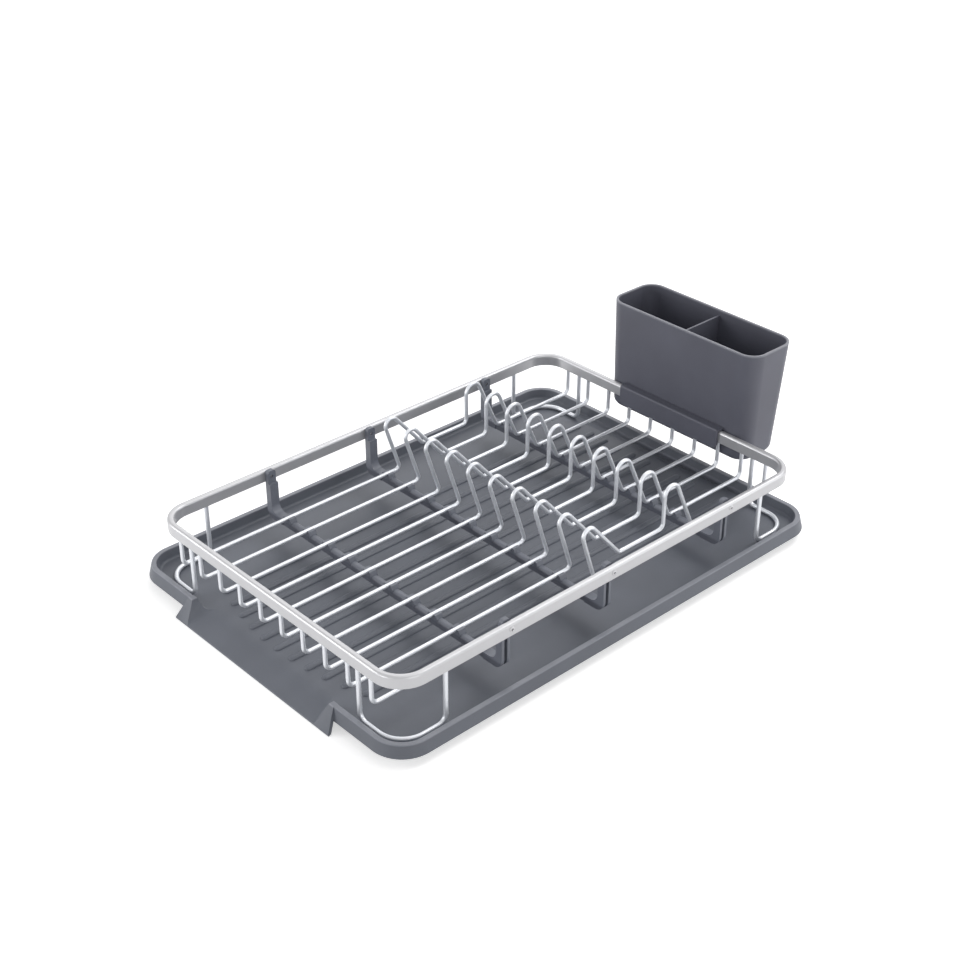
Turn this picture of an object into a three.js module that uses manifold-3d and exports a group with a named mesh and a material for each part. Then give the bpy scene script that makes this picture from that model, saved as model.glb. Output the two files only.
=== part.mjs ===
// Dish drainer: an aluminium rack of humped wires that stands on four wire legs in a drip tray,
// with a two-compartment cutlery holder hooked over one end.
// Lengths are in millimetres. +X runs to the cutlery end, +Y to the back and +Z up.

import * as THREE from "three";
import { mergeVertices } from "three/addons/utils/BufferGeometryUtils.js";
import Module from "manifold-3d";

const wasm = await Module();
wasm.setup();

// Clearances, and the overrun of every cut and of every join
const fitGap = 0.3;
const cutOverrun = 1;
const joinOverlap = 0.5;

// Drip tray, whose lip outline is its driving rectangle
const trayLipLength = 456;
const trayLipWidth = 326;
const trayLipRadius = 25.5;
const trayLipFlat = 4.2;
const trayLipEdge = 0.6;
const trayDepth = 8.6;
const trayFloorThickness = 2;
const trayFlare = 2.5;
const trayDraft = 1.5;
const trayFillet = 2.5;
const traySkirtWall = 2;
const trayFootHeight = 7.8;
const trayFootRadius = 9;
const trayFootTaper = 1.5;
const trayFootInset = 34;

// Raised ribs on the tray floor
const ribPitch = 17.5;
const ribsPerSide = 5;
const ribWidth = 6;
const ribHeight = 1.3;
const ribBevel = 0.9;
const ribStartGap = 10.5;
const ribEndGap = 20;
const ribArcDepth = 15;

// Spout at the middle of the tray's open end. Its channel narrows from the tray's lip to its floor in
// a hollow curve, and the wings beside it widen downwards.
const spoutReach = 7.6;
const spoutHalfWidth = 86.4;
const spoutFloorInset = 14.4;
const spoutLipInset = 6.7;
const spoutWingTopWidth = 5;
const spoutWingFootWidth = 10.9;
const spoutWingSetBack = 3;
const spoutLipThickness = 1.5;
const spoutDrop = 7.6;
const spoutSlopeStart = 11;
const spoutSideShares = [
  [0, 0],
  [0.35, 0.12],
  [0.65, 0.42],
  [1, 1],
];

// Where the rack stands in the tray: a little towards the spout and the front
const rackShiftX = -3.5;
const rackShiftY = -5.5;

// Top rim, a bar with a rounded top, set in from the tray's lip all round
const rimSetInX = 10.95;
const rimSetInY = 14.25;
const rimRadius = 26;
const rimThickness = 5.8;
const rimHeight = 10.4;
const rimEdgeRadius = 2.2;
const rimBottomEdge = 0.5;
const rimBottomAboveFloor = 47.9;
const socketDepth = 5;

// Long wires, all bent alike, in a row that stops short of the rim's sides
const wireCount = 10;
const wireRowSetIn = 31.75;
const wireRadius = 1.7;
const wireDropBelowRim = 24.4;
const wireEndBend = 6;
const wireRaise = 15.5;
const leftHumpStart = 8.5;
const leftHumpEnd = 34.4;
const leftHumpRiseAngle = 108.15;
const leftHumpFallAngle = 49.4;
const leftHumpFootRadius = 4;
const leftHumpTopRadius = 6.3;
const leftHumpEndRadius = 5;
const rightHumpStart = 85.8;
const rightHumpEnd = 122.7;
const rightHumpRiseAngle = 90;
const rightHumpFallAngle = 65.6;
const rightHumpFootRadius = 5;
const rightHumpTopRadius = 8.1;
const rightHumpEndRadius = 6;

// Legs, one loop of wire at each corner
const legRadius = 1.9;
const legArm = 46;
const legBend = 7;
const legCornerRadius = 22;

// Crossbars under the wires, with a post and a tab at each end
const leftCrossbarShare = -0.508;
const middleCrossbarShare = -0.0217;
const rightCrossbarShare = 0.6012;
const crossbarWidth = 8;
const crossbarWaist = 6.6;
const crossbarTopDrop = 2.3;
const crossbarDepth = 6.1;
const crossbarWeb = 2.2;
const crossbarSlot = 3;
const crossbarCornerRadius = 8;
const postThickness = 6.5;
const postInnerRadius = 7;
const tabThickness = 4;
const tabAboveRim = 0.6;
const tabCornerRadius = 2.5;
const clipWall = 2.1;
const clipRise = 0.9;
const clipFlare = 1.4;

// Rivets that hold the posts to the rim
const rivetHeadRadius = 2.3;
const rivetHeadHeight = 0.8;
const rivetRise = 0.6;
const rivetShankRadius = 1.3;
const rivetDepthInTab = 2.6;

// Cutlery holder and its hook
const holderLength = 165;
const holderDepth = 55.5;
const holderHeight = 103;
const holderBottomAboveFloor = 31.8;
const holderPlaceY = -10;
const holderRadius = 15;
const holderWall = 2.2;
const holderFloor = 2.4;
const holderEndTaper = 3;
const holderBackTaper = 8.2;
const holderBottomRadius = 7;
const holderEdge = 0.6;
const dividerThickness = 1.8;
const dividerDrop = 5;
const holderRimGap = 0.4;
const hookWidth = 113;
const hookThickness = 2;
const hookCornerRadius = 1.6;
const skirtHeight = 18;
const skirtCornerRadius = 5;
const drainSlotsPerSide = 4;
const drainSlotWidth = 4;
const drainSlotLength = 30;
const drainSlotPitch = 14;

// Steps that the curves are made of
const cornerSteps = 6;
const sectionSides = 8;
const bendSteps = 3;
const humpTopSteps = 4;
const clipGrooveSteps = 5;
const spoutSteps = 4;
const legCornerSteps = 5;
const smallArcSteps = 3;
const roundSides = 16;
const socketSides = 10;
const weldDistance = 0.0001;

const quarterTurn = Math.PI / 2;
const fullTurn = Math.PI * 2;

// Heights above the surface that the tray stands on
const trayUnderside = trayFootHeight;
const trayFloorTop = trayUnderside + trayFloorThickness;
const trayLipTop = trayFloorTop + trayDepth;
const spoutLipLow = trayUnderside - spoutDrop;
const spoutLipTop = spoutLipLow + spoutLipThickness;
const rimBottom = trayFloorTop + rimBottomAboveFloor;
const rimTop = rimBottom + rimHeight;
const wireLow = rimBottom - wireDropBelowRim;
const wireHigh = wireLow + wireRaise;
const socketTop = rimBottom + socketDepth;
const rivetHeight = (rimBottom + rimTop) / 2 + rivetRise;
const holderBottom = trayFloorTop + holderBottomAboveFloor;
const holderTop = holderBottom + holderHeight;

// Half sizes that several pieces share
const trayHalfLength = trayLipLength / 2;
const trayHalfWidth = trayLipWidth / 2;
const rimHalfLength = trayHalfLength - rimSetInX;
const rimHalfWidth = trayHalfWidth - rimSetInY;
const wireEndX = rimHalfLength - rimThickness / 2;
const wireEndY = rimHalfWidth - rimThickness / 2;
const legPlaceX = rimHalfLength - legArm;
const legPlaceY = rimHalfWidth - legArm;
const wireRowHalf = rimHalfWidth - wireRowSetIn;
const wirePitch = (wireRowHalf * 2) / (wireCount - 1);
const postOut = rimHalfWidth - rimThickness - fitGap;
const postIn = postOut - postThickness;
const clipGroove = wireRadius + fitGap;
const clipHalf = clipGroove + clipWall;

// Where the spout's bottom starts to fall and where it ends, along the tray
const spoutSlopeX = -(trayHalfLength - trayLipFlat - spoutSlopeStart);
const spoutLipX = -(trayHalfLength + trayFlare + spoutReach);

const finishes = {
  satinAluminium: { color: 0xcfcfd2, roughness: 0.38, metalness: 0.85 },
  brightWire: { color: 0xd9dade, roughness: 0.28, metalness: 0.8 },
  greyPlastic: { color: 0x5d6067, roughness: 0.6, metalness: 0 },
  darkPlastic: { color: 0x4c4e55, roughness: 0.55, metalness: 0 },
};

function namedMesh(name, geometry, finish) {
  const mesh = new THREE.Mesh(geometry, new THREE.MeshStandardMaterial(finish));
  mesh.name = name;
  return mesh;
}

// A closed geometry as a solid that can be joined and cut.
function solidOf(geometry) {
  const bare = geometry.index ? geometry.toNonIndexed() : geometry.clone();
  bare.deleteAttribute("normal");
  bare.deleteAttribute("uv");
  const merged = mergeVertices(bare, weldDistance);
  const vertProperties = new Float32Array(merged.attributes.position.array);
  const triVerts = new Uint32Array(merged.index.array);
  return new wasm.Manifold(new wasm.Mesh({ numProp: 3, vertProperties, triVerts }));
}

function geometryOf(solid) {
  const made = solid.getMesh();
  const geometry = new THREE.BufferGeometry();
  const points = [];
  for (let i = 0; i < made.numVert; i += 1) {
    points.push(...made.vertProperties.subarray(i * made.numProp, i * made.numProp + 3));
  }
  geometry.setAttribute("position", new THREE.Float32BufferAttribute(points, 3));
  geometry.setIndex(Array.from(made.triVerts));
  const flat = geometry.toNonIndexed();
  flat.computeVertexNormals();
  return flat;
}

function joinAll(first, others) {
  return others.reduce((whole, other) => whole.add(other), first);
}

function cutAll(first, others) {
  return others.reduce((whole, other) => whole.subtract(other), first);
}

// The points of a rounded rectangle at one height, anticlockwise seen from above.
function roundedRing({ halfLength, halfWidth, radius, height, centreX = 0, centreY = 0 }) {
  const corners = [
    [1, 1],
    [-1, 1],
    [-1, -1],
    [1, -1],
  ];
  const points = [];
  corners.forEach(([sideX, sideY], corner) => {
    for (let step = 0; step <= cornerSteps; step += 1) {
      const angle = (corner + step / cornerSteps) * quarterTurn;
      points.push([
        centreX + sideX * (halfLength - radius) + radius * Math.cos(angle),
        centreY + sideY * (halfWidth - radius) + radius * Math.sin(angle),
        height,
      ]);
    }
  });
  return points;
}

// A surface through rings of equal count, listed from low to high on the outside. A hoop joins its
// last ring to its first; otherwise the first and last rings are capped.
function ringLoft(rings, hoop = false) {
  const count = rings[0].length;
  const indices = [];
  const bands = hoop ? rings.length : rings.length - 1;
  for (let band = 0; band < bands; band += 1) {
    const low = band * count;
    const high = ((band + 1) % rings.length) * count;
    for (let i = 0; i < count; i += 1) {
      const next = (i + 1) % count;
      indices.push(low + i, low + next, high + next);
      indices.push(low + i, high + next, high + i);
    }
  }
  if (!hoop) {
    const last = (rings.length - 1) * count;
    for (let i = 1; i < count - 1; i += 1) {
      indices.push(0, i + 1, i);
      indices.push(last, last + i, last + i + 1);
    }
  }
  const geometry = new THREE.BufferGeometry();
  geometry.setAttribute("position", new THREE.Float32BufferAttribute(rings.flat(2), 3));
  geometry.setIndex(indices);
  return geometry.toNonIndexed();
}

// An outline in the XZ plane given a thickness along Y, centred on Y = 0.
function acrossY(shape, thickness) {
  const geometry = new THREE.ExtrudeGeometry(shape, {
    depth: thickness,
    bevelEnabled: false,
    curveSegments: cornerSteps,
  });
  geometry.translate(0, 0, -thickness / 2);
  geometry.rotateX(quarterTurn);
  return geometry;
}

// An outline in the YZ plane given a thickness along X, centred on X = 0.
function acrossX(shape, thickness) {
  const geometry = new THREE.ExtrudeGeometry(shape, {
    depth: thickness,
    bevelEnabled: false,
    curveSegments: cornerSteps,
  });
  geometry.translate(0, 0, -thickness / 2);
  geometry.rotateX(quarterTurn);
  geometry.rotateZ(quarterTurn);
  return geometry;
}

function outlineOf(points) {
  return new THREE.Shape(points.map(([across, up]) => new THREE.Vector2(across, up)));
}

// Points of a quarter arc about a centre, between two angles in quarter turns.
function arcPoints(centreAcross, centreUp, radius, from, to, steps = smallArcSteps) {
  return Array.from({ length: steps + 1 }, (unused, step) => {
    const angle = (from + ((to - from) * step) / steps) * quarterTurn;
    return [centreAcross + radius * Math.cos(angle), centreUp + radius * Math.sin(angle)];
  });
}

// A path that holds chosen stations, each with its own direction.
class StationPath extends THREE.Curve {
  constructor(stations) {
    super();
    this.stations = stations;
  }

  stationAt(share) {
    return this.stations[Math.round(share * (this.stations.length - 1))];
  }

  getPoint(share, target = new THREE.Vector3()) {
    return target.copy(this.stationAt(share).point);
  }

  getPointAt(share, target) {
    return this.getPoint(share, target);
  }

  getTangentAt(share, target = new THREE.Vector3()) {
    return target.copy(this.stationAt(share).direction);
  }
}

// The stations of a wire that runs through corners, each corner rounded to its own radius.
function bentPath(corners) {
  const stations = [];
  const directionOf = (from, to) => to.point.clone().sub(from.point).normalize();
  stations.push({ point: corners[0].point, direction: directionOf(corners[0], corners[1]) });
  for (let i = 1; i < corners.length - 1; i += 1) {
    const { point, radius, steps } = corners[i];
    const arriving = directionOf(corners[i - 1], corners[i]);
    const leaving = directionOf(corners[i], corners[i + 1]);
    const turn = arriving.angleTo(leaving);
    const axis = arriving.clone().cross(leaving).normalize();
    const start = point.clone().addScaledVector(arriving, -radius * Math.tan(turn / 2));
    const inward = axis.clone().cross(arriving);
    const centre = start.clone().addScaledVector(inward, radius);
    for (let step = 0; step <= steps; step += 1) {
      const angle = (turn * step) / steps;
      const spoke = start.clone().sub(centre).applyAxisAngle(axis, angle);
      const direction = arriving.clone().applyAxisAngle(axis, angle);
      stations.push({ point: spoke.add(centre), direction });
    }
  }
  const last = corners.length - 1;
  stations.push({ point: corners[last].point, direction: directionOf(corners[last - 1], corners[last]) });
  return new StationPath(stations);
}

// A wire of round section along a path.
function wireAlong(path, radius) {
  const section = new THREE.Shape(
    Array.from({ length: sectionSides }, (unused, side) => {
      const angle = ((side + 1 / 2) / sectionSides) * fullTurn;
      return new THREE.Vector2(radius * Math.cos(angle), radius * Math.sin(angle));
    }),
  );
  return new THREE.ExtrudeGeometry(section, {
    steps: path.stations.length - 1,
    bevelEnabled: false,
    extrudePath: path,
  });
}

// An upright round pin or hole between two heights.
function uprightRound(radius, low, high, sides) {
  const geometry = new THREE.CylinderGeometry(radius, radius, high - low, sides);
  geometry.rotateX(quarterTurn);
  geometry.translate(0, 0, (low + high) / 2);
  return geometry;
}

// The tray wall's outside, from its flared foot to the lip.
function trayOutside() {
  const ring = (grow, height) =>
    roundedRing({
      halfLength: trayHalfLength + grow,
      halfWidth: trayHalfWidth + grow,
      radius: trayLipRadius + grow,
      height,
    });
  return ringLoft([
    ring(trayFlare, trayUnderside),
    ring(0, trayLipTop - trayLipEdge),
    ring(-trayLipEdge, trayLipTop),
  ]);
}

// The basin inside the wall, with a rounded foot and a slight draft.
function trayBasin() {
  const ring = (inset, height) =>
    roundedRing({
      halfLength: trayHalfLength - inset,
      halfWidth: trayHalfWidth - inset,
      radius: trayLipRadius - inset,
      height,
    });
  const wallFoot = trayLipFlat + trayDraft;
  const rings = [];
  for (let step = 0; step <= smallArcSteps; step += 1) {
    const angle = (step / smallArcSteps) * quarterTurn;
    const inset = wallFoot + trayFillet * (1 - Math.sin(angle));
    rings.push(ring(inset, trayFloorTop + trayFillet * (1 - Math.cos(angle))));
  }
  rings.push(ring(trayLipFlat, trayLipTop));
  rings.push(ring(trayLipFlat, trayLipTop + cutOverrun));
  return ringLoft(rings);
}

// The hollow under the wall, open below, that keeps the moulding to an even wall.
function trayUndersideGroove() {
  const ring = (inset, height) =>
    roundedRing({
      halfLength: trayHalfLength - inset,
      halfWidth: trayHalfWidth - inset,
      radius: trayLipRadius - inset,
      height,
    });
  const grooveTop = trayLipTop - traySkirtWall;
  const middle = trayLipFlat / 2;
  const innerFoot = trayLipFlat + trayDraft - traySkirtWall;
  const outerFoot = traySkirtWall - trayFlare;
  return ringLoft(
    [
      ring(outerFoot, trayUnderside - cutOverrun),
      ring(middle - fitGap, grooveTop),
      ring(middle + fitGap, grooveTop),
      ring(innerFoot, trayUnderside - cutOverrun),
    ],
    true,
  );
}

// The spout's channel, grown all round by a wall, whose floor falls and widens to the spout's lip.
function spoutChannel(wall) {
  const section = (placeX) => {
    const share = (placeX - spoutSlopeX) / (spoutLipX - spoutSlopeX);
    const floor = trayFloorTop + (spoutLipTop - trayFloorTop) * share;
    const inset = spoutFloorInset + (spoutLipInset - spoutFloorInset) * share;
    const side = spoutSideShares.map(([outShare, upShare]) => [
      spoutHalfWidth + wall - inset * (1 - outShare),
      floor - wall + (trayLipTop - floor) * upShare,
    ]);
    side.push([spoutHalfWidth + wall, trayLipTop + cutOverrun]);
    const mirrored = side.map(([across, up]) => [-across, up]).reverse();
    return [...side, ...mirrored].map(([across, up]) => [placeX, across, up]);
  };
  const start = spoutLipX - cutOverrun;
  const stride = (spoutSlopeX + cutOverrun - start) / spoutSteps;
  const sections = Array.from({ length: spoutSteps + 1 }, (unused, i) => section(start + i * stride));
  return solidOf(ringLoft(sections));
}

// The hollow under the spout's wings, which leaves them as plates on the tray's wall.
function spoutHollow() {
  const run = trayFlare + spoutReach;
  const rise = trayLipTop - spoutLipTop;
  const low = spoutLipLow - cutOverrun;
  const wallX = -(trayHalfLength + trayFlare / 2);
  const hollow = outlineOf([
    [spoutWingSetBack - trayHalfLength - (run * (trayLipTop - low)) / rise, low],
    [spoutSlopeX + cutOverrun, low],
    [spoutSlopeX + cutOverrun, trayUnderside],
    [wallX, trayUnderside],
    [wallX, trayLipTop - ((trayFlare / 2 + spoutWingSetBack) * rise) / run],
  ]);
  return solidOf(acrossY(hollow, trayLipWidth));
}

// The spout's wings and sloping bottom, whose two sides lean in towards the top.
function spoutShell() {
  const side = outlineOf([
    [spoutSlopeX, trayUnderside],
    [spoutSlopeX, trayFloorTop],
    [-(trayHalfLength - trayLipFlat), trayLipTop],
    [-trayHalfLength, trayLipTop],
    [spoutLipX, spoutLipTop],
    [spoutLipX, spoutLipLow],
  ]);
  const footHalf = spoutHalfWidth + spoutWingFootWidth;
  const topHalf = spoutHalfWidth + spoutWingTopWidth;
  const lean = ((footHalf - topHalf) * cutOverrun) / (trayLipTop - spoutLipLow);
  const across = outlineOf([
    [-footHalf - lean, spoutLipLow - cutOverrun],
    [footHalf + lean, spoutLipLow - cutOverrun],
    [topHalf - lean, trayLipTop + cutOverrun],
    [-topHalf + lean, trayLipTop + cutOverrun],
  ]);
  const span = solidOf(acrossX(across, trayLipLength * 2));
  const block = solidOf(acrossY(side, trayLipWidth)).intersect(span);
  return block.subtract(spoutHollow().subtract(spoutChannel(spoutLipThickness)));
}

// One raised rib along X, with round ends and bevelled sides.
function trayRib(placeY) {
  const basinHalf = trayHalfLength - trayLipFlat;
  const sideShare = placeY / (ribsPerSide * ribPitch);
  const startX = -(basinHalf - ribStartGap) + ribArcDepth * sideShare * sideShare;
  const endX = basinHalf - ribEndGap;
  const radius = ribWidth / 2 - ribBevel;
  const shape = new THREE.Shape();
  shape.absarc(startX + radius, 0, radius, quarterTurn, quarterTurn * 3);
  shape.absarc(endX - radius, 0, radius, -quarterTurn, quarterTurn);
  const geometry = new THREE.ExtrudeGeometry(shape, {
    depth: joinOverlap,
    bevelThickness: ribHeight,
    bevelSize: ribBevel,
    bevelSegments: 1,
    curveSegments: smallArcSteps,
  });
  geometry.translate(0, placeY, trayFloorTop - joinOverlap);
  return solidOf(geometry);
}

// One low foot under the tray.
function trayFoot(sideX, sideY) {
  const height = trayFootHeight + joinOverlap;
  const geometry = new THREE.CylinderGeometry(
    trayFootRadius,
    trayFootRadius - trayFootTaper,
    height,
    roundSides,
  );
  geometry.rotateX(quarterTurn);
  geometry.translate(
    sideX * (trayHalfLength - trayFootInset),
    sideY * (trayHalfWidth - trayFootInset),
    height / 2,
  );
  return solidOf(geometry);
}

function dripTray() {
  const shell = solidOf(trayOutside()).subtract(solidOf(trayUndersideGroove()));
  const open = cutAll(shell.add(spoutShell()), [solidOf(trayBasin()), spoutChannel(0)]);
  const ribs = Array.from({ length: ribsPerSide * 2 + 1 }, (unused, i) => {
    return trayRib((i - ribsPerSide) * ribPitch);
  });
  const feet = [trayFoot(1, 1), trayFoot(-1, 1), trayFoot(-1, -1), trayFoot(1, -1)];
  return namedMesh("drip_tray", geometryOf(joinAll(open, [...ribs, ...feet])), finishes.greyPlastic);
}

// The rim's bar as a hoop, before its sockets and rivet holes are cut.
function rimHoop() {
  const ring = (inset, height) =>
    roundedRing({
      halfLength: rimHalfLength - inset,
      halfWidth: rimHalfWidth - inset,
      radius: rimRadius - inset,
      height,
    });
  const shoulder = rimTop - rimEdgeRadius;
  const profile = [
    [rimBottomEdge, rimBottom],
    [0, rimBottom + rimBottomEdge],
    ...arcPoints(rimEdgeRadius, shoulder, rimEdgeRadius, 2, 1),
    ...arcPoints(rimThickness - rimEdgeRadius, shoulder, rimEdgeRadius, 1, 0),
    [rimThickness, rimBottom + rimBottomEdge],
    [rimThickness - rimBottomEdge, rimBottom],
  ];
  return ringLoft(
    profile.map(([inset, height]) => ring(inset, height)),
    true,
  );
}

// Where the leg loops enter the rim: two places at each corner.
function legPlaces() {
  const places = [];
  for (const sideX of [-1, 1]) {
    for (const sideY of [-1, 1]) {
      places.push([sideX * wireEndX, sideY * legPlaceY]);
      places.push([sideX * legPlaceX, sideY * wireEndY]);
    }
  }
  return places;
}

function wirePlaces() {
  return Array.from({ length: wireCount }, (unused, i) => i * wirePitch - wireRowHalf);
}

// The name and the place along the rim of each crossbar.
function crossbarPlaces() {
  return [
    ["left", leftCrossbarShare * rimHalfLength],
    ["middle", middleCrossbarShare * rimHalfLength],
    ["right", rightCrossbarShare * rimHalfLength],
  ];
}

function topRim() {
  const socket = (radius, [placeX, placeY]) => {
    const geometry = uprightRound(radius + fitGap, rimBottom - cutOverrun, socketTop, socketSides);
    geometry.translate(placeX, placeY, 0);
    return solidOf(geometry);
  };
  const rivetHole = (placeX) => {
    const geometry = new THREE.CylinderGeometry(
      rivetShankRadius + fitGap,
      rivetShankRadius + fitGap,
      rimHalfWidth * 2 + cutOverrun,
      socketSides,
    );
    geometry.translate(placeX, 0, rivetHeight);
    return solidOf(geometry);
  };
  const wireEnds = wirePlaces().flatMap((placeY) => [
    [-wireEndX, placeY],
    [wireEndX, placeY],
  ]);
  const cut = cutAll(solidOf(rimHoop()), [
    ...wireEnds.map((place) => socket(wireRadius, place)),
    ...legPlaces().map((place) => socket(legRadius, place)),
    ...crossbarPlaces().map(([, placeX]) => rivetHole(placeX)),
  ]);
  return namedMesh("top_rim", geometryOf(cut), finishes.satinAluminium);
}

// The corner that a hump's two straight sides would meet at.
function humpApex([startX, startZ], riseAngle, [endX, endZ], fallAngle) {
  const riseSlope = 1 / Math.tan(THREE.MathUtils.degToRad(riseAngle));
  const fallSlope = 1 / Math.tan(THREE.MathUtils.degToRad(fallAngle));
  const apexZ = (endX - startX + startZ * riseSlope + endZ * fallSlope) / (riseSlope + fallSlope);
  return [startX + (apexZ - startZ) * riseSlope, apexZ];
}

// One long wire: down from the rim, along, over two humps joined by a raised run, and up again.
function longWireGeometry() {
  const leftStart = [leftHumpStart, wireLow];
  const leftEnd = [leftHumpEnd, wireHigh];
  const rightStart = [rightHumpStart, wireHigh];
  const rightEnd = [rightHumpEnd, wireLow];
  const leftApex = humpApex(leftStart, leftHumpRiseAngle, leftEnd, leftHumpFallAngle);
  const rightApex = humpApex(rightStart, rightHumpRiseAngle, rightEnd, rightHumpFallAngle);
  const wireTop = socketTop - fitGap;
  const corner = ([placeX, placeZ], radius, steps) => ({
    point: new THREE.Vector3(placeX, 0, placeZ),
    radius,
    steps,
  });
  const path = bentPath([
    corner([-wireEndX, wireTop]),
    corner([-wireEndX, wireLow], wireEndBend, bendSteps),
    corner(leftStart, leftHumpFootRadius, bendSteps),
    corner(leftApex, leftHumpTopRadius, humpTopSteps),
    corner(leftEnd, leftHumpEndRadius, bendSteps),
    corner(rightStart, rightHumpFootRadius, bendSteps),
    corner(rightApex, rightHumpTopRadius, humpTopSteps),
    corner(rightEnd, rightHumpEndRadius, bendSteps),
    corner([wireEndX, wireLow], wireEndBend, bendSteps),
    corner([wireEndX, wireTop]),
  ]);
  return wireAlong(path, wireRadius);
}

function longWires() {
  return wirePlaces().map((placeY, i) => {
    const number = String(wireCount - i).padStart(2, "0");
    const wire = namedMesh("wire_" + number, longWireGeometry(), finishes.brightWire);
    wire.position.y = placeY;
    return wire;
  });
}

// One leg: down from the short side, round the corner on the tray floor and up to the long side.
function legLoop(name, sideX, sideY) {
  const legTop = socketTop - fitGap;
  const legLow = trayFloorTop + fitGap + legRadius;
  const corner = (placeX, placeY, placeZ, radius, steps) => ({
    point: new THREE.Vector3(sideX * placeX, sideY * placeY, placeZ),
    radius,
    steps,
  });
  const path = bentPath([
    corner(wireEndX, legPlaceY, legTop),
    corner(wireEndX, legPlaceY, legLow, legBend, bendSteps),
    corner(wireEndX, wireEndY, legLow, legCornerRadius, legCornerSteps),
    corner(legPlaceX, wireEndY, legLow, legBend, bendSteps),
    corner(legPlaceX, wireEndY, legTop),
  ]);
  return namedMesh(name, wireAlong(path, legRadius), finishes.brightWire);
}

function legs() {
  return [
    legLoop("leg_back_right", 1, 1),
    legLoop("leg_back_left", -1, 1),
    legLoop("leg_front_left", -1, -1),
    legLoop("leg_front_right", 1, -1),
  ];
}

// The crossbar's side outline: a bar turned up into a post at each end, with a clip at each wire
// that holds it in a groove on flared shoulders.
function crossbarOutline() {
  const barTop = wireLow - crossbarTopDrop;
  const curveOut = postOut - crossbarCornerRadius;
  const curveUp = barTop - crossbarDepth + crossbarCornerRadius;
  const curveIn = postIn - postInnerRadius;
  const clipTop = wireLow + clipRise;
  const mouthHalf = Math.sqrt(clipGroove * clipGroove - clipRise * clipRise);
  const mouthTurn = Math.atan2(clipRise, mouthHalf) / quarterTurn;
  const clip = (placeY) => [
    [placeY + clipHalf + clipFlare, barTop],
    [placeY + clipHalf, clipTop],
    ...arcPoints(placeY, wireLow, clipGroove, mouthTurn, -2 - mouthTurn, clipGrooveSteps),
    [placeY - clipHalf, clipTop],
    [placeY - clipHalf - clipFlare, barTop],
  ];
  return outlineOf([
    ...arcPoints(-curveOut, curveUp, crossbarCornerRadius, 2, 3),
    ...arcPoints(curveOut, curveUp, crossbarCornerRadius, 3, 4),
    [postOut, rimBottom],
    [postIn, rimBottom],
    ...arcPoints(curveIn, barTop + postInnerRadius, postInnerRadius, 0, -1),
    ...wirePlaces().reverse().flatMap(clip),
    ...arcPoints(-curveIn, barTop + postInnerRadius, postInnerRadius, 3, 2),
    [-postIn, rimBottom],
    [-postOut, rimBottom],
  ]);
}

// The space beside the bar, from the first clip to the last, that narrows the bar there.
function crossbarWaistCut(side) {
  const inner = crossbarWaist / 2;
  const outer = crossbarWidth / 2 + cutOverrun;
  const rowHalf = wireRowHalf + clipHalf + clipFlare;
  const cut = new THREE.BoxGeometry(outer - inner, rowHalf * 2, rimBottom - trayFloorTop);
  cut.translate((side * (outer + inner)) / 2, 0, (rimBottom + trayFloorTop) / 2);
  return solidOf(cut);
}

// The slot that runs down the posts' outer faces and along the bar's underside.
function crossbarSlotCut() {
  const slotOut = postOut + cutOverrun;
  const slotIn = postIn + crossbarWeb;
  const barTop = wireLow - crossbarTopDrop;
  const slotTop = rimBottom - crossbarWeb;
  const slotLow = barTop - crossbarDepth - cutOverrun;
  const curveIn = slotIn - postInnerRadius;
  const curveUp = barTop - crossbarWeb + postInnerRadius;
  const shape = outlineOf([
    [-slotOut, slotLow],
    [slotOut, slotLow],
    [slotOut, slotTop],
    [slotIn, slotTop],
    ...arcPoints(curveIn, curveUp, postInnerRadius, 0, -1),
    ...arcPoints(-curveIn, curveUp, postInnerRadius, 3, 2),
    [-slotIn, slotTop],
    [-slotOut, slotTop],
  ]);
  return solidOf(acrossX(shape, crossbarSlot));
}

// The tab that stands behind the rim on top of a post, with a hole for the rivet.
function crossbarTab(side) {
  const tabTop = rimTop + tabAboveRim;
  const half = crossbarWidth / 2;
  const shape = outlineOf([
    [-half, rimBottom - joinOverlap],
    [half, rimBottom - joinOverlap],
    ...arcPoints(half - tabCornerRadius, tabTop - tabCornerRadius, tabCornerRadius, 0, 1),
    ...arcPoints(-half + tabCornerRadius, tabTop - tabCornerRadius, tabCornerRadius, 1, 2),
  ]);
  const geometry = acrossY(shape, tabThickness);
  geometry.translate(0, side * (postOut - tabThickness / 2), 0);
  return solidOf(geometry);
}

function crossbarGeometry() {
  const bar = solidOf(acrossX(crossbarOutline(), crossbarWidth));
  const waisted = cutAll(bar, [crossbarWaistCut(1), crossbarWaistCut(-1)]);
  const tabbed = joinAll(waisted, [crossbarTab(1), crossbarTab(-1)]);
  const rivetHole = new THREE.CylinderGeometry(
    rivetShankRadius + fitGap,
    rivetShankRadius + fitGap,
    rimHalfWidth * 2,
    socketSides,
  );
  rivetHole.translate(0, 0, rivetHeight);
  return geometryOf(cutAll(tabbed, [crossbarSlotCut(), solidOf(rivetHole)]));
}

function crossbars() {
  return crossbarPlaces().map(([place, placeX]) => {
    const bar = namedMesh("crossbar_" + place, crossbarGeometry(), finishes.darkPlastic);
    bar.position.x = placeX;
    return bar;
  });
}

// One rivet, with its domed head outside the rim and its shank through to the tab.
function rivetGeometry() {
  const shankEnd = rimThickness + fitGap + rivetDepthInTab;
  const dome = arcPoints(0, 0, 1, 1, 0).map(([across, up]) => [
    rivetHeadRadius * across,
    fitGap + rivetHeadHeight * up,
  ]);
  const profile = [
    [0, -shankEnd],
    [rivetShankRadius, -shankEnd],
    [rivetShankRadius, fitGap],
    ...dome.reverse(),
  ];
  return new THREE.LatheGeometry(
    profile.map(([across, up]) => new THREE.Vector2(across, up)),
    socketSides,
  );
}

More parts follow.
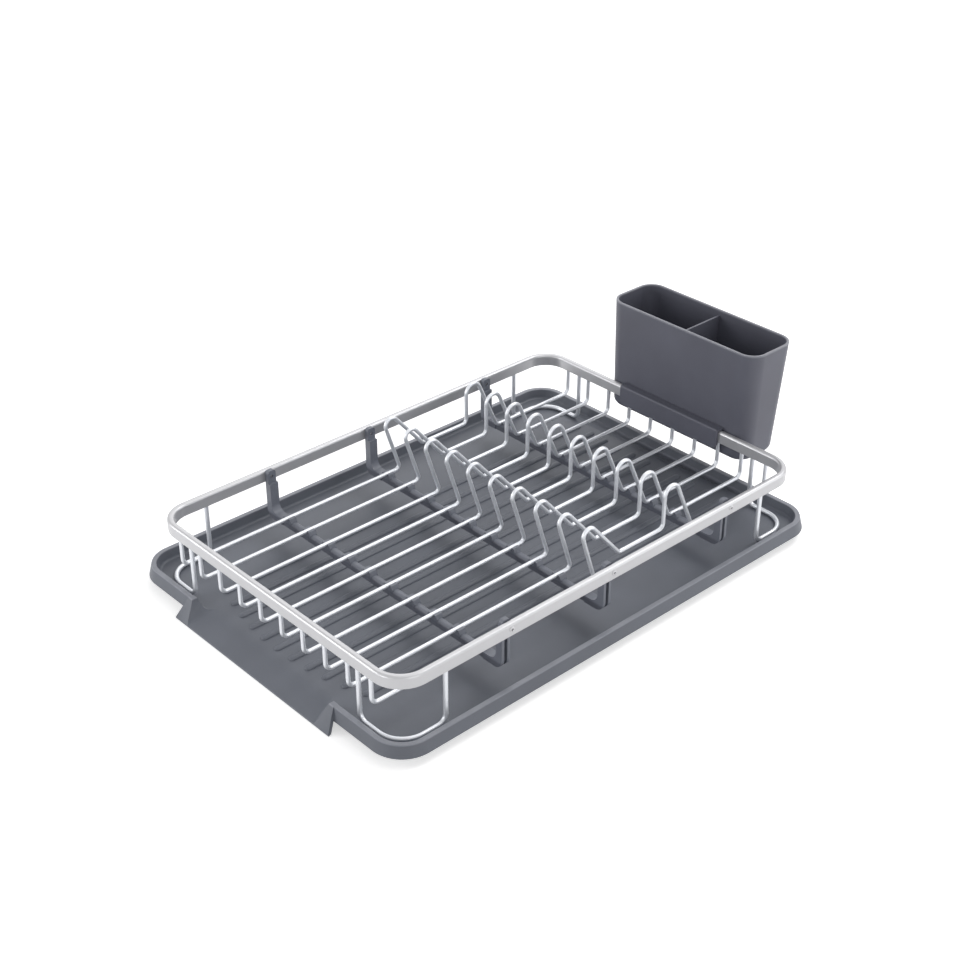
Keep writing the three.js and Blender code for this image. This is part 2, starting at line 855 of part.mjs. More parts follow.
function rivets() {
  const made = [];
  for (const [place, placeX] of crossbarPlaces()) {
    for (const [row, side] of [["front", -1], ["back", 1]]) {
      const rivet = namedMesh("rivet_" + row + "_" + place, rivetGeometry(), finishes.satinAluminium);
      rivet.rotation.x = side > 0 ? 0 : Math.PI;
      rivet.position.set(placeX, side * rimHalfWidth, rivetHeight);
      made.push(rivet);
    }
  }
  return made;
}

// A ring of the holder's wall, drawn in by the taper at its height and by an inset.
function holderRing(inset, height, frontX) {
  const lowShare = (holderTop - height) / holderHeight;
  const depth = holderDepth - holderBackTaper * lowShare - inset * 2;
  return roundedRing({
    halfLength: depth / 2,
    halfWidth: holderLength / 2 - holderEndTaper * lowShare - inset,
    radius: holderRadius - inset,
    height,
    centreX: frontX + inset + depth / 2,
  });
}

function holderOutside(frontX) {
  const rings = [];
  for (let step = 0; step <= smallArcSteps; step += 1) {
    const angle = (step / smallArcSteps) * quarterTurn;
    const inset = holderBottomRadius * (1 - Math.sin(angle));
    rings.push(holderRing(inset, holderBottom + holderBottomRadius * (1 - Math.cos(angle)), frontX));
  }
  rings.push(holderRing(0, holderTop - holderEdge, frontX));
  rings.push(holderRing(holderEdge, holderTop, frontX));
  return solidOf(ringLoft(rings));
}

function holderInside(frontX) {
  const floorTop = holderBottom + holderFloor;
  const radius = holderBottomRadius - holderWall;
  const rings = [];
  for (let step = 0; step <= smallArcSteps; step += 1) {
    const angle = (step / smallArcSteps) * quarterTurn;
    const inset = holderWall + radius * (1 - Math.sin(angle));
    rings.push(holderRing(inset, floorTop + radius * (1 - Math.cos(angle)), frontX));
  }
  rings.push(holderRing(holderWall, holderTop + cutOverrun, frontX));
  return solidOf(ringLoft(rings));
}

// The wall between the two compartments, a little lower than the rim of the holder.
function holderDivider(frontX) {
  const low = holderBottom + holderFloor - joinOverlap;
  const high = holderTop - dividerDrop;
  const lowShare = (holderTop - low) / holderHeight;
  const nearX = frontX + holderWall - joinOverlap;
  const farX = frontX + holderDepth - holderWall + joinOverlap;
  const shape = outlineOf([
    [nearX, low],
    [farX - holderBackTaper * lowShare, low],
    [farX, high],
    [nearX, high],
  ]);
  return solidOf(acrossY(shape, dividerThickness));
}

// Long drain slots through the holder's floor.
function drainSlots(frontX) {
  const slots = [];
  const centreX = frontX + (holderDepth - holderBackTaper) / 2;
  for (const side of [-1, 1]) {
    for (let i = 1; i <= drainSlotsPerSide; i += 1) {
      const slot = new THREE.BoxGeometry(drainSlotLength, drainSlotWidth, (holderFloor + cutOverrun) * 2);
      slot.translate(centreX, side * i * drainSlotPitch, holderBottom);
      slots.push(solidOf(slot));
    }
  }
  return slots;
}

// The hook: a flange over the rim and a skirt with rounded lower corners down its inner face.
function holderHook(frontX) {
  const underside = rimTop + fitGap;
  const top = underside + hookThickness;
  const skirtOut = rimHalfLength - rimThickness - holderRimGap;
  const skirtIn = skirtOut - hookThickness;
  const skirtLow = top - skirtHeight;
  const flange = outlineOf([
    [frontX + joinOverlap, underside],
    [frontX + joinOverlap, top],
    ...arcPoints(skirtIn + hookCornerRadius, top - hookCornerRadius, hookCornerRadius, 1, 2),
    [skirtIn, underside],
  ]);
  const half = hookWidth / 2;
  const skirt = outlineOf([
    [half, top - hookCornerRadius],
    [-half, top - hookCornerRadius],
    ...arcPoints(-half + skirtCornerRadius, skirtLow + skirtCornerRadius, skirtCornerRadius, 2, 3),
    ...arcPoints(half - skirtCornerRadius, skirtLow + skirtCornerRadius, skirtCornerRadius, 3, 4),
  ]);
  const skirtPlate = acrossX(skirt, hookThickness);
  skirtPlate.translate((skirtIn + skirtOut) / 2, 0, 0);
  return solidOf(acrossY(flange, hookWidth)).add(solidOf(skirtPlate));
}

function cutleryHolder() {
  const frontX = rimHalfLength + holderRimGap;
  const cup = holderOutside(frontX).subtract(holderInside(frontX)).add(holderDivider(frontX));
  const drained = cutAll(cup, drainSlots(frontX)).add(holderHook(frontX));
  const holder = namedMesh("cutlery_holder", geometryOf(drained), finishes.darkPlastic);
  holder.position.y = holderPlaceY;
  return holder;
}

function dishRack() {
  const rack = new THREE.Group();
  rack.add(topRim(), ...longWires(), ...legs(), ...crossbars(), ...rivets(), cutleryHolder());
  rack.position.set(rackShiftX, rackShiftY, 0);
  return rack;
}

// The origin is on the surface, under the middle of the whole length from spout to holder.
const holderEndX = rackShiftX + rimHalfLength + holderRimGap + holderDepth;

const drainer = new THREE.Group();
drainer.name = "dish_drainer";
drainer.add(dripTray(), dishRack());
for (const piece of drainer.children) {
  piece.position.x -= (spoutLipX + holderEndX) / 2;
}

export default drainer;
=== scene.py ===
"""The looks of a dish drainer: a rack of humped wires on wire legs, its drip tray and its cutlery holder."""

import logging
import math
from collections.abc import Callable, Iterable, Sequence
from dataclasses import dataclass
from enum import Enum

import bmesh
import bpy
from mathutils import Euler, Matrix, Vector


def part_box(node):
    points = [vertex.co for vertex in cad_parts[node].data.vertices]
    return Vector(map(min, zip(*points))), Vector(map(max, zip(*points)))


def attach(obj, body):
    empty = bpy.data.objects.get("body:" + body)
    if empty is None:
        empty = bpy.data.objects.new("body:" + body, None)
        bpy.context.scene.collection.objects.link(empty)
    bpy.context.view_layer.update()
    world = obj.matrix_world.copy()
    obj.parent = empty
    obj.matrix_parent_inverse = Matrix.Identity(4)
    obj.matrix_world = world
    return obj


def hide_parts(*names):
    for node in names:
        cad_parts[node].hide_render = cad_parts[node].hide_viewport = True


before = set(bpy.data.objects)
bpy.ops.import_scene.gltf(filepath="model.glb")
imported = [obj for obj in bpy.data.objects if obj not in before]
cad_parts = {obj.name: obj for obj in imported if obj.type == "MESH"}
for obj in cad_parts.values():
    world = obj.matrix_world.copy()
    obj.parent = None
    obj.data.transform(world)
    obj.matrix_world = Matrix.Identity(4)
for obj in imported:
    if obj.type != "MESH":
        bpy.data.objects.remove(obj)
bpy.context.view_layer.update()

log = logging.getLogger("dish_drainer")

MM = 0.001
QUARTER = math.pi / 2

# How many straight steps the rounded outlines, small edges and fillets are made of.
CORNER_STEPS = 18
EDGE_STEPS = 4
FILLET_STEPS = 8
# Edges sharper than this stay crisp.
SHARP_ANGLE = math.radians(32)

# The gap between pieces that touch, and under a rivet's head.
FIT_GAP = 0.3 * MM
SEAT_GAP = FIT_GAP / 6
# How far a cutter reaches past what it cuts, and one solid into the next before they are joined.
CUT_OVERRUN = 1 * MM
JOIN_OVERLAP = 0.5 * MM

# Between these lie most of a noise pattern's values.
NOISE_LOW = 0.3
NOISE_HIGH = 0.7

Point2 = tuple[float, float]
Point3 = tuple[float, float, float]
Colour = tuple[float, float, float]
# A wire's corner with its bend radius, or a socket with its wire's radius.
Corner = tuple[Vector, float]
# A copy's place, its turn about the upright and its scale across.
Spot = tuple[Vector, float, float]
Solid = bpy.types.Object
Socket = bpy.types.NodeSocket
Material = bpy.types.Material


class Body(Enum):
    """The moving bodies that pieces ride on."""

    TRAY = "tray"
    RACK = "rack"
    HOLDER = "holder"


class Slot(Enum):
    """The record's material slots."""

    RIM = "rim_aluminium"
    WIRE = "wire_metal"
    RIVET = "rivet_metal"
    CROSSBAR = "crossbar_plastic"
    TRAY = "tray_plastic"
    HOLDER = "holder_plastic"


class Across(Enum):
    """The direction in which a flat outline gets its thickness."""

    X = "x"
    Y = "y"
    Z = "z"


class Join(Enum):
    """What a boolean does with its tool."""

    ADD = "UNION"
    CUT = "DIFFERENCE"


def linear(colour: Colour) -> tuple[float, float, float, float]:
    """Turns a screen colour into the linear colour that shaders take.

    Args:
        colour: Red, green and blue as seen on a screen, from 0 to 1.

    Returns:
        The linear red, green, blue and alpha.
    """
    knee, slope, offset, power = 0.04045, 12.92, 0.055, 2.4
    parts = [c / slope if c <= knee else ((c + offset) / (1 + offset)) ** power for c in colour]
    return (parts[0], parts[1], parts[2], 1.0)


def arc(centre: Point2, radius: float, start: float, end: float, steps: int = FILLET_STEPS) -> list[Point2]:
    """Places points on an arc.

    Args:
        centre: The arc's centre.
        radius: Its radius.
        start: Its first angle in quarter turns.
        end: Its last angle in quarter turns.
        steps: How many straight steps it is made of.

    Returns:
        The points, both ends included.
    """
    angles = [(start + (end - start) * i / steps) * QUARTER for i in range(steps + 1)]
    return [(centre[0] + radius * math.cos(a), centre[1] + radius * math.sin(a)) for a in angles]


def circle(centre: Point2, radius: float, sides: int) -> list[Point2]:
    """Places points once round a circle."""
    return arc(centre, radius, 0, 4, sides)[:-1]


def rounded_ring(centre: Point2, half_x: float, half_y: float, radius: float, height: float) -> list[Vector]:
    """Makes a level rounded rectangle, anticlockwise seen from above.

    Args:
        centre: Its middle.
        half_x: Half its length along X.
        half_y: Half its width along Y.
        radius: Its corner radius.
        height: Its height.

    Returns:
        The ring's points.
    """
    points = []
    for corner, (side_x, side_y) in enumerate(((1, 1), (-1, 1), (-1, -1), (1, -1))):
        middle = (centre[0] + side_x * (half_x - radius), centre[1] + side_y * (half_y - radius))
        turn = arc(middle, radius, corner, corner + 1, CORNER_STEPS)
        points.extend(Vector((x, y, height)) for x, y in turn)
    return points


def object_from(name: str, shape: bmesh.types.BMesh) -> Solid:
    """Puts a finished bmesh into the scene with its faces pointing outwards.

    Args:
        name: The new object's name.
        shape: The mesh under construction, which is freed.

    Returns:
        The new object, at the origin.
    """
    bmesh.ops.recalc_face_normals(shape, faces=shape.faces)
    mesh = bpy.data.meshes.new(name)
    shape.to_mesh(mesh)
    shape.free()
    piece = bpy.data.objects.new(name, mesh)
    bpy.context.scene.collection.objects.link(piece)
    return piece


def running_lengths(points: Sequence[Vector]) -> list[float]:
    """Measures how far along a line of points each point lies.

    Args:
        points: The line's points in order.

    Returns:
        Each point's distance from the first.
    """
    lengths = [0.0]
    for before, after in zip(points, points[1:]):
        lengths.append(lengths[-1] + (after - before).length)
    return lengths


def loft(name: str, rings: Sequence[Sequence[Vector]], hoop: bool) -> Solid:
    """Skins a closed surface through rings of equal count.

    Args:
        name: The new object's name.
        rings: The rings in order along the outside.
        hoop: True joins the last ring to the first, False caps both.

    Returns:
        The object, whose UV map runs along the rings in metres.
    """
    shape = bmesh.new()
    uv = shape.loops.layers.uv.new("along")
    levels = [[shape.verts.new(point) for point in ring] for ring in rings]
    around = running_lengths([*rings[0], rings[0][0]])
    up = running_lengths([ring[0] for ring in [*rings, rings[0]]])
    bands = len(rings) if hoop else len(rings) - 1
    for band in range(bands):
        low, high = levels[band], levels[(band + 1) % len(levels)]
        for i in range(len(low)):
            after = (i + 1) % len(low)
            face = shape.faces.new((low[i], low[after], high[after], high[i]))
            places = ((i, band), (i + 1, band), (i + 1, band + 1), (i, band + 1))
            for loop, (step, level) in zip(face.loops, places):
                loop[uv].uv = (around[step], up[level])
    if not hoop:
        shape.faces.new(levels[0])
        shape.faces.new(levels[-1])
    return object_from(name, shape)


def plate(name: str, outline: Sequence[Point2], low: float, high: float, across: Across) -> Solid:
    """Gives a flat outline its thickness.

    Args:
        name: The new object's name.
        outline: Its points: Y and Z across X, X and Z across Y, X and Y across Z.
        low: Where the thickness starts.
        high: Where it ends.
        across: The direction of the thickness.

    Returns:
        The closed plate.
    """
    shape = bmesh.new()
    position = list(Across).index(across)
    sides = []
    for depth in (low, high):
        places = [(*point[:position], depth, *point[position:]) for point in outline]
        sides.append([shape.verts.new(place) for place in places])
    shape.faces.new(sides[0])
    shape.faces.new(sides[1])
    for i in range(len(outline)):
        after = (i + 1) % len(outline)
        shape.faces.new((sides[0][i], sides[0][after], sides[1][after], sides[1][i]))
    return object_from(name, shape)


def upright_pin(name: str, centre: Point2, radii: Point2, low: float, high: float, sides: int) -> Solid:
    """Makes a round or slightly tapered upright pin.

    Args:
        name: The new object's name.
        centre: Its middle.
        radii: Its radius at the bottom and at the top.
        low: Its lowest height.
        high: Its highest height.
        sides: How many sides it has.

    Returns:
        The closed pin.
    """
    rings = []
    for radius, height in zip(radii, (low, high)):
        rings.append([Vector((x, y, height)) for x, y in circle(centre, radius, sides)])
    return loft(name, rings, hoop=False)


def settle(piece: Solid) -> Solid:
    """Turns a piece and its modifiers into one plain mesh.

    Args:
        piece: The piece.

    Returns:
        The same piece with the plain mesh.
    """
    graph = bpy.context.evaluated_depsgraph_get()
    mesh = bpy.data.meshes.new_from_object(piece.evaluated_get(graph))
    before = piece.data
    piece.modifiers.clear()
    piece.data = mesh
    mesh.name = piece.name
    bpy.data.meshes.remove(before)
    return piece


def combine(piece: Solid, tools: Iterable[Solid], join: Join) -> Solid:
    """Joins or cuts a piece with other solids, which are used up.

    Args:
        piece: The piece that stays.
        tools: The solids to add to it or take from it.
        join: Whether they are added or cut away.

    Returns:
        The piece as a plain mesh.
    """
    for tool in tools:
        modifier = piece.modifiers.new("combine", "BOOLEAN")
        modifier.operation = join.value
        modifier.solver = "EXACT"
        modifier.object = tool
        settle(piece)
        bpy.data.objects.remove(tool)
    return piece


def soften(piece: Solid, width: float, steps: int) -> Solid:
    """Rounds a piece's sharp edges.

    Args:
        piece: The piece to round.
        width: The rounding's width.
        steps: The rounding's steps.

    Returns:
        The piece as a plain mesh.
    """
    modifier = piece.modifiers.new("soften", "BEVEL")
    modifier.width = width
    modifier.segments = steps
    modifier.limit_method = "ANGLE"
    modifier.angle_limit = SHARP_ANGLE
    modifier.use_clamp_overlap = True
    return settle(piece)


def shade(piece: Solid) -> Solid:
    """Smooths a piece's shading except across its sharp edges.

    Args:
        piece: The piece.

    Returns:
        The same piece as a plain mesh.
    """
    piece.data.shade_smooth()
    piece.data.set_sharp_from_angle(angle=SHARP_ANGLE)
    modifier = piece.modifiers.new("even shading", "WEIGHTED_NORMAL")
    modifier.keep_sharp = True
    return settle(piece)


def merge(piece: Solid, others: Iterable[Solid]) -> Solid:
    """Puts other closed shells into a piece's mesh as they are.

    Args:
        piece: The piece that stays.
        others: The shells that go into it and are used up.

    Returns:
        The piece with every shell in it.
    """
    shape = bmesh.new()
    shape.from_mesh(piece.data)
    for other in others:
        shape.from_mesh(other.data)
        bpy.data.objects.remove(other)
    shape.to_mesh(piece.data)
    shape.free()
    return piece


class NodeDraft:
    """A node tree under construction."""

    def __init__(self, tree: bpy.types.NodeTree) -> None:
        """Takes the tree that the nodes go into."""
        self.tree = tree

    def feed(self, socket: Socket, value: object) -> None:
        """Links or sets a socket.

        Args:
            socket: The input.
            value: The socket to link it to, or its plain value.
        """
        if isinstance(value, Socket):
            self.tree.links.new(value, socket)
        else:
            socket.default_value = value

    def node(self, kind: str, links: dict[str | int, object], **settings: object) -> bpy.types.Node:
        """Adds a node.

        Args:
            kind: The node's type.
            links: What goes into its inputs, sockets or plain values, by input name or number.
            settings: The node's own options.

        Returns:
            The node.
        """
        made = self.tree.nodes.new(kind)
        for option, value in settings.items():
            setattr(made, option, value)
        for name, value in links.items():
            self.feed(made.inputs[name], value)
        return made

    def sum(self, operation: str, *values: object) -> Socket:
        """Works out a number from sockets or plain values."""
        return self.node("ShaderNodeMath", dict(enumerate(values)), operation=operation).outputs[0]

    def vector(self, **parts: object) -> Socket:
        """Puts a vector together from what X, Y and Z are."""
        return self.node("ShaderNodeCombineXYZ", parts).outputs[0]

    def part(self, source: Socket, name: str) -> Socket:
        """Takes the X, Y or Z of a vector."""
        return self.node("ShaderNodeSeparateXYZ", {0: source}).outputs[name]


class GrowthTree(NodeDraft):
    """A geometry node tree under construction, with named inputs for its sizes."""

    def __init__(self, name: str) -> None:
        """Starts a tree.

        Args:
            name: The tree's name.
        """
        super().__init__(bpy.data.node_groups.new(name, "GeometryNodeTree"))
        self._add_socket("Base", "INPUT", "NodeSocketGeometry")
        self._add_socket("Result", "OUTPUT", "NodeSocketGeometry")
        self.entry = self.tree.nodes.new("NodeGroupInput")
        self.exit = self.tree.nodes.new("NodeGroupOutput")

    def _add_socket(self, name: str, side: str, kind: str) -> None:
        """Adds one socket to the tree's interface."""
        self.tree.interface.new_socket(name=name, in_out=side, socket_type=kind)

    def base(self) -> Socket:
        """Gives the geometry that the tree starts from."""
        return self.entry.outputs["Base"]

    def size(self, name: str) -> Socket:
        """Adds a named size and gives its socket."""
        self._add_socket(name, "INPUT", "NodeSocketFloat")
        return self.entry.outputs[name]

    def count(self, name: str) -> Socket:
        """Adds a named whole number and gives its socket."""
        self._add_socket(name, "INPUT", "NodeSocketInt")
        return self.entry.outputs[name]

    def pattern(self, name: str) -> Socket:
        """Adds a named object that the tree repeats and gives its socket."""
        self._add_socket(name, "INPUT", "NodeSocketObject")
        return self.entry.outputs[name]

    def attribute(self, name: str) -> Socket:
        """Reads a number that the base geometry carries."""
        reader = self.node("GeometryNodeInputNamedAttribute", {"Name": name}, data_type="FLOAT")
        return reader.outputs["Attribute"]

    def position(self, axis: str) -> Socket:
        """Reads a point's place along X, Y or Z."""
        return self.part(self.node("GeometryNodeInputPosition", {}).outputs[0], axis)

    def close(self, geometry: Socket) -> bpy.types.NodeTree:
        """Ends the tree with real geometry in the piece's material.

        Args:
            geometry: The finished shape.

        Returns:
            The tree.
        """
        self._add_socket("Material", "INPUT", "NodeSocketMaterial")
        real = self.node("GeometryNodeRealizeInstances", {"Geometry": geometry})
        material = self.entry.outputs["Material"]
        dressed = self.node("GeometryNodeSetMaterial", {"Geometry": real.outputs[0], "Material": material})
        self.tree.links.new(dressed.outputs[0], self.exit.inputs["Result"])
        return self.tree


def grow(piece: Solid, tree: bpy.types.NodeTree, values: dict[str, object]) -> Solid:
    """Runs a tree on a piece and keeps what it makes as a plain mesh.

    Args:
        piece: The object that the tree starts from.
        tree: The tree.
        values: The tree's inputs by name.

    Returns:
        The piece with the grown mesh.
    """
    modifier = piece.modifiers.new("grow", "NODES")
    modifier.node_group = tree
    for item in tree.interface.items_tree:
        if item.item_type == "SOCKET" and item.in_out == "INPUT" and item.name in values:
            modifier[item.identifier] = values[item.name]
    return settle(piece)


def point_object(
    name: str, points: Sequence[Vector], chained: bool, numbers: dict[str, Sequence[float]]
) -> Solid:
    """Makes an object of bare points that a tree starts from.

    Args:
        name: The object's name.
        points: The points.
        chained: True joins each point to the next by an edge.
        numbers: Numbers that the points carry, by name.

    Returns:
        The object.
    """
    mesh = bpy.data.meshes.new(name)
    edges = [(i, i + 1) for i in range(len(points) - 1)] if chained else []
    mesh.from_pydata([tuple(point) for point in points], edges, [])
    for label, values in numbers.items():
        mesh.attributes.new(label, "FLOAT", "POINT").data.foreach_set("value", list(values))
    piece = bpy.data.objects.new(name, mesh)
    bpy.context.scene.collection.objects.link(piece)
    return piece


def bent_wire_tree() -> bpy.types.NodeTree:
    """Builds the tree that bends and sweeps a wire along its corner points.

    Returns:
        The tree.
    """
    growth = GrowthTree("bent wire")
    radius, sides, steps = growth.size("Wire Radius"), growth.count("Sides"), growth.count("Bend Steps")
    line = growth.node("GeometryNodeMeshToCurve", {"Mesh": growth.base()})
    bends = growth.node(
        "GeometryNodeFilletCurve",
        {"Curve": line.outputs[0], "Count": steps, "Radius": growth.attribute("bend_radius")},
        mode="POLY",
    )
    section = growth.node("GeometryNodeCurvePrimitiveCircle", {"Resolution": sides, "Radius": radius})
    links = {"Curve": bends.outputs[0], "Profile Curve": section.outputs[0], "Fill Caps": True}
    swept = growth.node("GeometryNodeCurveToMesh", links)
    return growth.close(swept.outputs[0])


def repeat_tree() -> bpy.types.NodeTree:
    """Builds the tree that repeats a pattern at each base point, turned and scaled as the point says.

    Returns:
        The tree.
    """
    growth = GrowthTree("repeat at points")
    pattern = growth.node("GeometryNodeObjectInfo", {"Object": growth.pattern("Pattern")})
    width = growth.attribute("width")
    links = {
        "Points": growth.base(),
        "Instance": pattern.outputs["Geometry"],
        "Rotation": growth.vector(Z=growth.attribute("turn")),
        "Scale": growth.vector(X=width, Y=width, Z=1.0),
    }
    return growth.close(growth.node("GeometryNodeInstanceOnPoints", links).outputs[0])


def rib_row(growth: GrowthTree, pitch: Socket, per_side: Socket) -> Socket:
    """Lays one point for each rib, with their near ends on a shallow arc.

    Args:
        growth: The tree under construction.
        pitch: The ribs' spacing.
        per_side: How many ribs lie on each side of the middle one.

    Returns:
        The points.
    """
    start, depth = growth.size("Start"), growth.size("Arc Depth")
    reach = growth.sum("MULTIPLY", per_side, pitch)
    links = {
        "Count": growth.sum("MULTIPLY_ADD", per_side, 2.0, 1.0),
        "Start Location": growth.vector(Y=growth.sum("MULTIPLY", reach, -1.0)),
        "Offset": growth.vector(Y=pitch),
    }
    row = growth.node("GeometryNodeMeshLine", links)
    share = growth.sum("DIVIDE", growth.position("Y"), reach)
    near = growth.sum("ADD", start, growth.sum("MULTIPLY", growth.sum("MULTIPLY", share, share), depth))
    links = {"Geometry": row.outputs[0], "Offset": growth.vector(X=near)}
    return growth.node("GeometryNodeSetPosition", links).outputs[0]


def rib_line(growth: GrowthTree, steps: int) -> Socket:
    """Draws a line one metre long whose points gather at its two ends.

    Args:
        growth: The tree under construction.
        steps: How many points it has.

    Returns:
        The line.
    """
    spread = growth.node("GeometryNodeCurvePrimitiveLine", {"Start": (0.0, 0.0, 0.0), "End": (1.0, 0.0, 0.0)})
    fine = growth.node("GeometryNodeResampleCurve", {"Curve": spread.outputs[0], "Count": steps})
    factor = growth.node("GeometryNodeSplineParameter", {}).outputs["Factor"]
    wave = growth.sum("COSINE", growth.sum("MULTIPLY", factor, math.pi))
    eased = growth.sum("MULTIPLY", growth.sum("SUBTRACT", 1.0, wave), 0.5)
    links = {"Geometry": fine.outputs[0], "Position": growth.vector(X=eased)}
    return growth.node("GeometryNodeSetPosition", links).outputs[0]


def floor_rib_tree(steps: int, sides: int, least: float) -> bpy.types.NodeTree:
    """Builds the tree that lays a row of low round-ended ribs.

    Args:
        steps: How many points each rib has along it.
        sides: How many sides its section has.
        least: The share of its section that is left at its very ends.

    Returns:
        The tree.
    """
    growth = GrowthTree("floor ribs")
    end, half_width, height = growth.size("End"), growth.size("Half Width"), growth.size("Height")
    row = rib_row(growth, growth.size("Pitch"), growth.count("Ribs Per Side"))
    stretch = growth.vector(X=growth.sum("SUBTRACT", end, growth.position("X")), Y=1.0, Z=1.0)
    links = {"Points": row, "Instance": rib_line(growth, steps), "Scale": stretch}
    lines = growth.node("GeometryNodeInstanceOnPoints", links)
    real = growth.node("GeometryNodeRealizeInstances", {"Geometry": lines.outputs[0]})
    level = growth.node("GeometryNodeSetCurveNormal", {"Curve": real.outputs[0]}, mode="Z_UP")
    along = growth.node("GeometryNodeSplineParameter", {}).outputs["Length"]
    whole = growth.node("GeometryNodeSplineLength", {}).outputs["Length"]
    near_end = growth.sum("MINIMUM", along, growth.sum("SUBTRACT", whole, along))
    inward = growth.sum("MINIMUM", growth.sum("DIVIDE", near_end, half_width), 1.0)
    short = growth.sum("SUBTRACT", 1.0, inward)
    bow = growth.sum("SQRT", growth.sum("SUBTRACT", 1.0, growth.sum("MULTIPLY", short, short)))
    taper = growth.sum("MAXIMUM", bow, least)
    section = growth.node("GeometryNodeCurvePrimitiveCircle", {"Resolution": sides, "Radius": 1.0})
    flat = growth.vector(X=half_width, Y=height, Z=1.0)
    squashed = growth.node("GeometryNodeTransform", {"Geometry": section.outputs[0], "Scale": flat})
    links = {"Curve": level.outputs[0], "Profile Curve": squashed.outputs[0], "Scale": taper}
    swept = growth.node("GeometryNodeCurveToMesh", {**links, "Fill Caps": True})
    return growth.close(swept.outputs[0])


def repeated(name: str, pattern: Solid, spots: Sequence[Spot], material: Material | None = None) -> Solid:
    """Repeats a pattern, which is used up.

    Args:
        name: The new object's name.
        pattern: The shape that is repeated.
        spots: Each copy's place, its turn about the upright and its scale across.
        material: The copies' material.

    Returns:
        The copies as one plain mesh.
    """
    points = [place for place, _, _ in spots]
    numbers = {"turn": [turn for _, turn, _ in spots], "width": [width for _, _, width in spots]}
    values: dict[str, object] = {"Pattern": pattern}
    if material:
        values["Material"] = material
    copies = grow(point_object(name, points, False, numbers), repeat_tree(), values)
    bpy.data.objects.remove(pattern)
    return copies


class ShaderPage(NodeDraft):
    """A material's node tree under construction."""

    def __init__(self, name: str) -> None:
        """Starts a material.

        Args:
            name: The material's name.
        """
        self.material = bpy.data.materials.new(name)
        self.material.use_nodes = True
        super().__init__(self.material.node_tree)
        self.surface = self.tree.nodes["Principled BSDF"]
        self.place = self.node("ShaderNodeTexCoord", {})

    def noise(self, source: Socket, scale: float, detail: float) -> Socket:
        """Adds a noise pattern.

        Args:
            source: The coordinates that it reads.
            scale: How many lumps fit in a metre.
            detail: How many finer layers it has.

        Returns:
            The pattern's socket.
        """
        links = {"Vector": source, "Scale": scale, "Detail": detail}
        return self.node("ShaderNodeTexNoise", links).outputs["Fac"]

    def spread(self, source: Socket, low: float, high: float) -> Socket:
        """Spreads a pattern's middle part over a range.

        Args:
            source: The pattern.
            low: What its dark part becomes.
            high: What its bright part becomes.

        Returns:
            The spread pattern's socket.
        """
        links = {"Value": source, "From Min": NOISE_LOW, "From Max": NOISE_HIGH}
        return self.node("ShaderNodeMapRange", {**links, "To Min": low, "To Max": high}).outputs["Result"]

    def vary(self, source: Socket, level: float, change: float) -> Socket:
        """Spreads a pattern's middle part evenly about a level."""
        return self.spread(source, level - change, level + change)

    def bump(self, pattern: Socket, strength: float, depth: float) -> Socket:
        """Makes the surface's shading follow a pattern's height."""
        links = {"Height": pattern, "Strength": strength, "Distance": depth}
        return self.node("ShaderNodeBump", links).outputs[0]

    def mix(self, share: Socket, first: object, second: object) -> Socket:
        """Mixes two colours.

        Args:
            share: How much of the second colour shows.
            first: The first colour, a socket or a plain value.
            second: The second colour.

        Returns:
            The mixed colour's socket.
        """
        made = self.node("ShaderNodeMix", {0: share}, data_type="RGBA")
        colours = [socket for socket in made.inputs if socket.type == "RGBA"]
        for socket, value in zip(colours, (first, second)):
            self.feed(socket, value)
        return next(socket for socket in made.outputs if socket.type == "RGBA")

    def set(self, **values: object) -> None:
        """Sets or links the surface's sockets, named with underscores for spaces."""
        for name, value in values.items():
            self.feed(self.surface.inputs[name.replace("_", " ")], value)


@dataclass(frozen=True)
class MouldedPlastic:
    """A moulded plastic with a fine spark-eroded grain, smoother along its top, where a patchy lighter band
    is painted highlight.
    """

    name: str
    colour: Colour
    painted_highlight_colour: Colour
    painted_highlight_from: float
    painted_highlight_to: float
    painted_highlight_patchiness: float = 0.25
    shade_change: float = 0.05
    roughness: float = 0.5
    roughness_change: float = 0.06
    top_band_roughness_drop: float = 0.08
    grain_per_metre: float = 2600.0
    grain_detail: float = 2.0
    grain_depth: float = 0.012 * MM
    grain_strength: float = 0.6
    cloud_per_metre: float = 14.0
    highlight_patches_per_metre: float = 55.0
    cloud_detail: float = 3.0

    def material(self) -> Material:
        """Builds the material.

        Returns:
            The material.
        """
        page = ShaderPage(self.name)
        place = page.place.outputs["Object"]
        cloud = page.noise(place, self.cloud_per_metre, self.cloud_detail)
        grain = page.noise(place, self.grain_per_metre, self.grain_detail)
        dark = tuple(c * (1 - self.shade_change) for c in self.colour)
        light = tuple(c * (1 + self.shade_change) for c in self.colour)
        plain = page.mix(page.spread(cloud, 0.0, 1.0), linear(dark), linear(light))
        # Painted highlight: the colour turns lighter in a patchy band along the piece's top, where the
        # roughness also drops.
        links = {"Value": page.part(place, "Z"), "From Min": self.painted_highlight_from, "From Max": self.painted_highlight_to}
        top = page.node("ShaderNodeMapRange", links, interpolation_type="SMOOTHSTEP").outputs["Result"]
        highlight_patches = page.noise(place, self.highlight_patches_per_metre, self.cloud_detail)
        painted_highlight = page.sum("MULTIPLY", top, page.spread(highlight_patches, 1 - self.painted_highlight_patchiness, 1.0))
        colour = page.mix(painted_highlight, plain, linear(self.painted_highlight_colour))
        rough = page.vary(grain, self.roughness, self.roughness_change)
        smooth = page.sum("MULTIPLY_ADD", painted_highlight, -self.top_band_roughness_drop, rough)
        bump = page.bump(grain, self.grain_strength, self.grain_depth)
        page.set(Base_Color=colour, Roughness=smooth, Normal=bump)
        return page.material


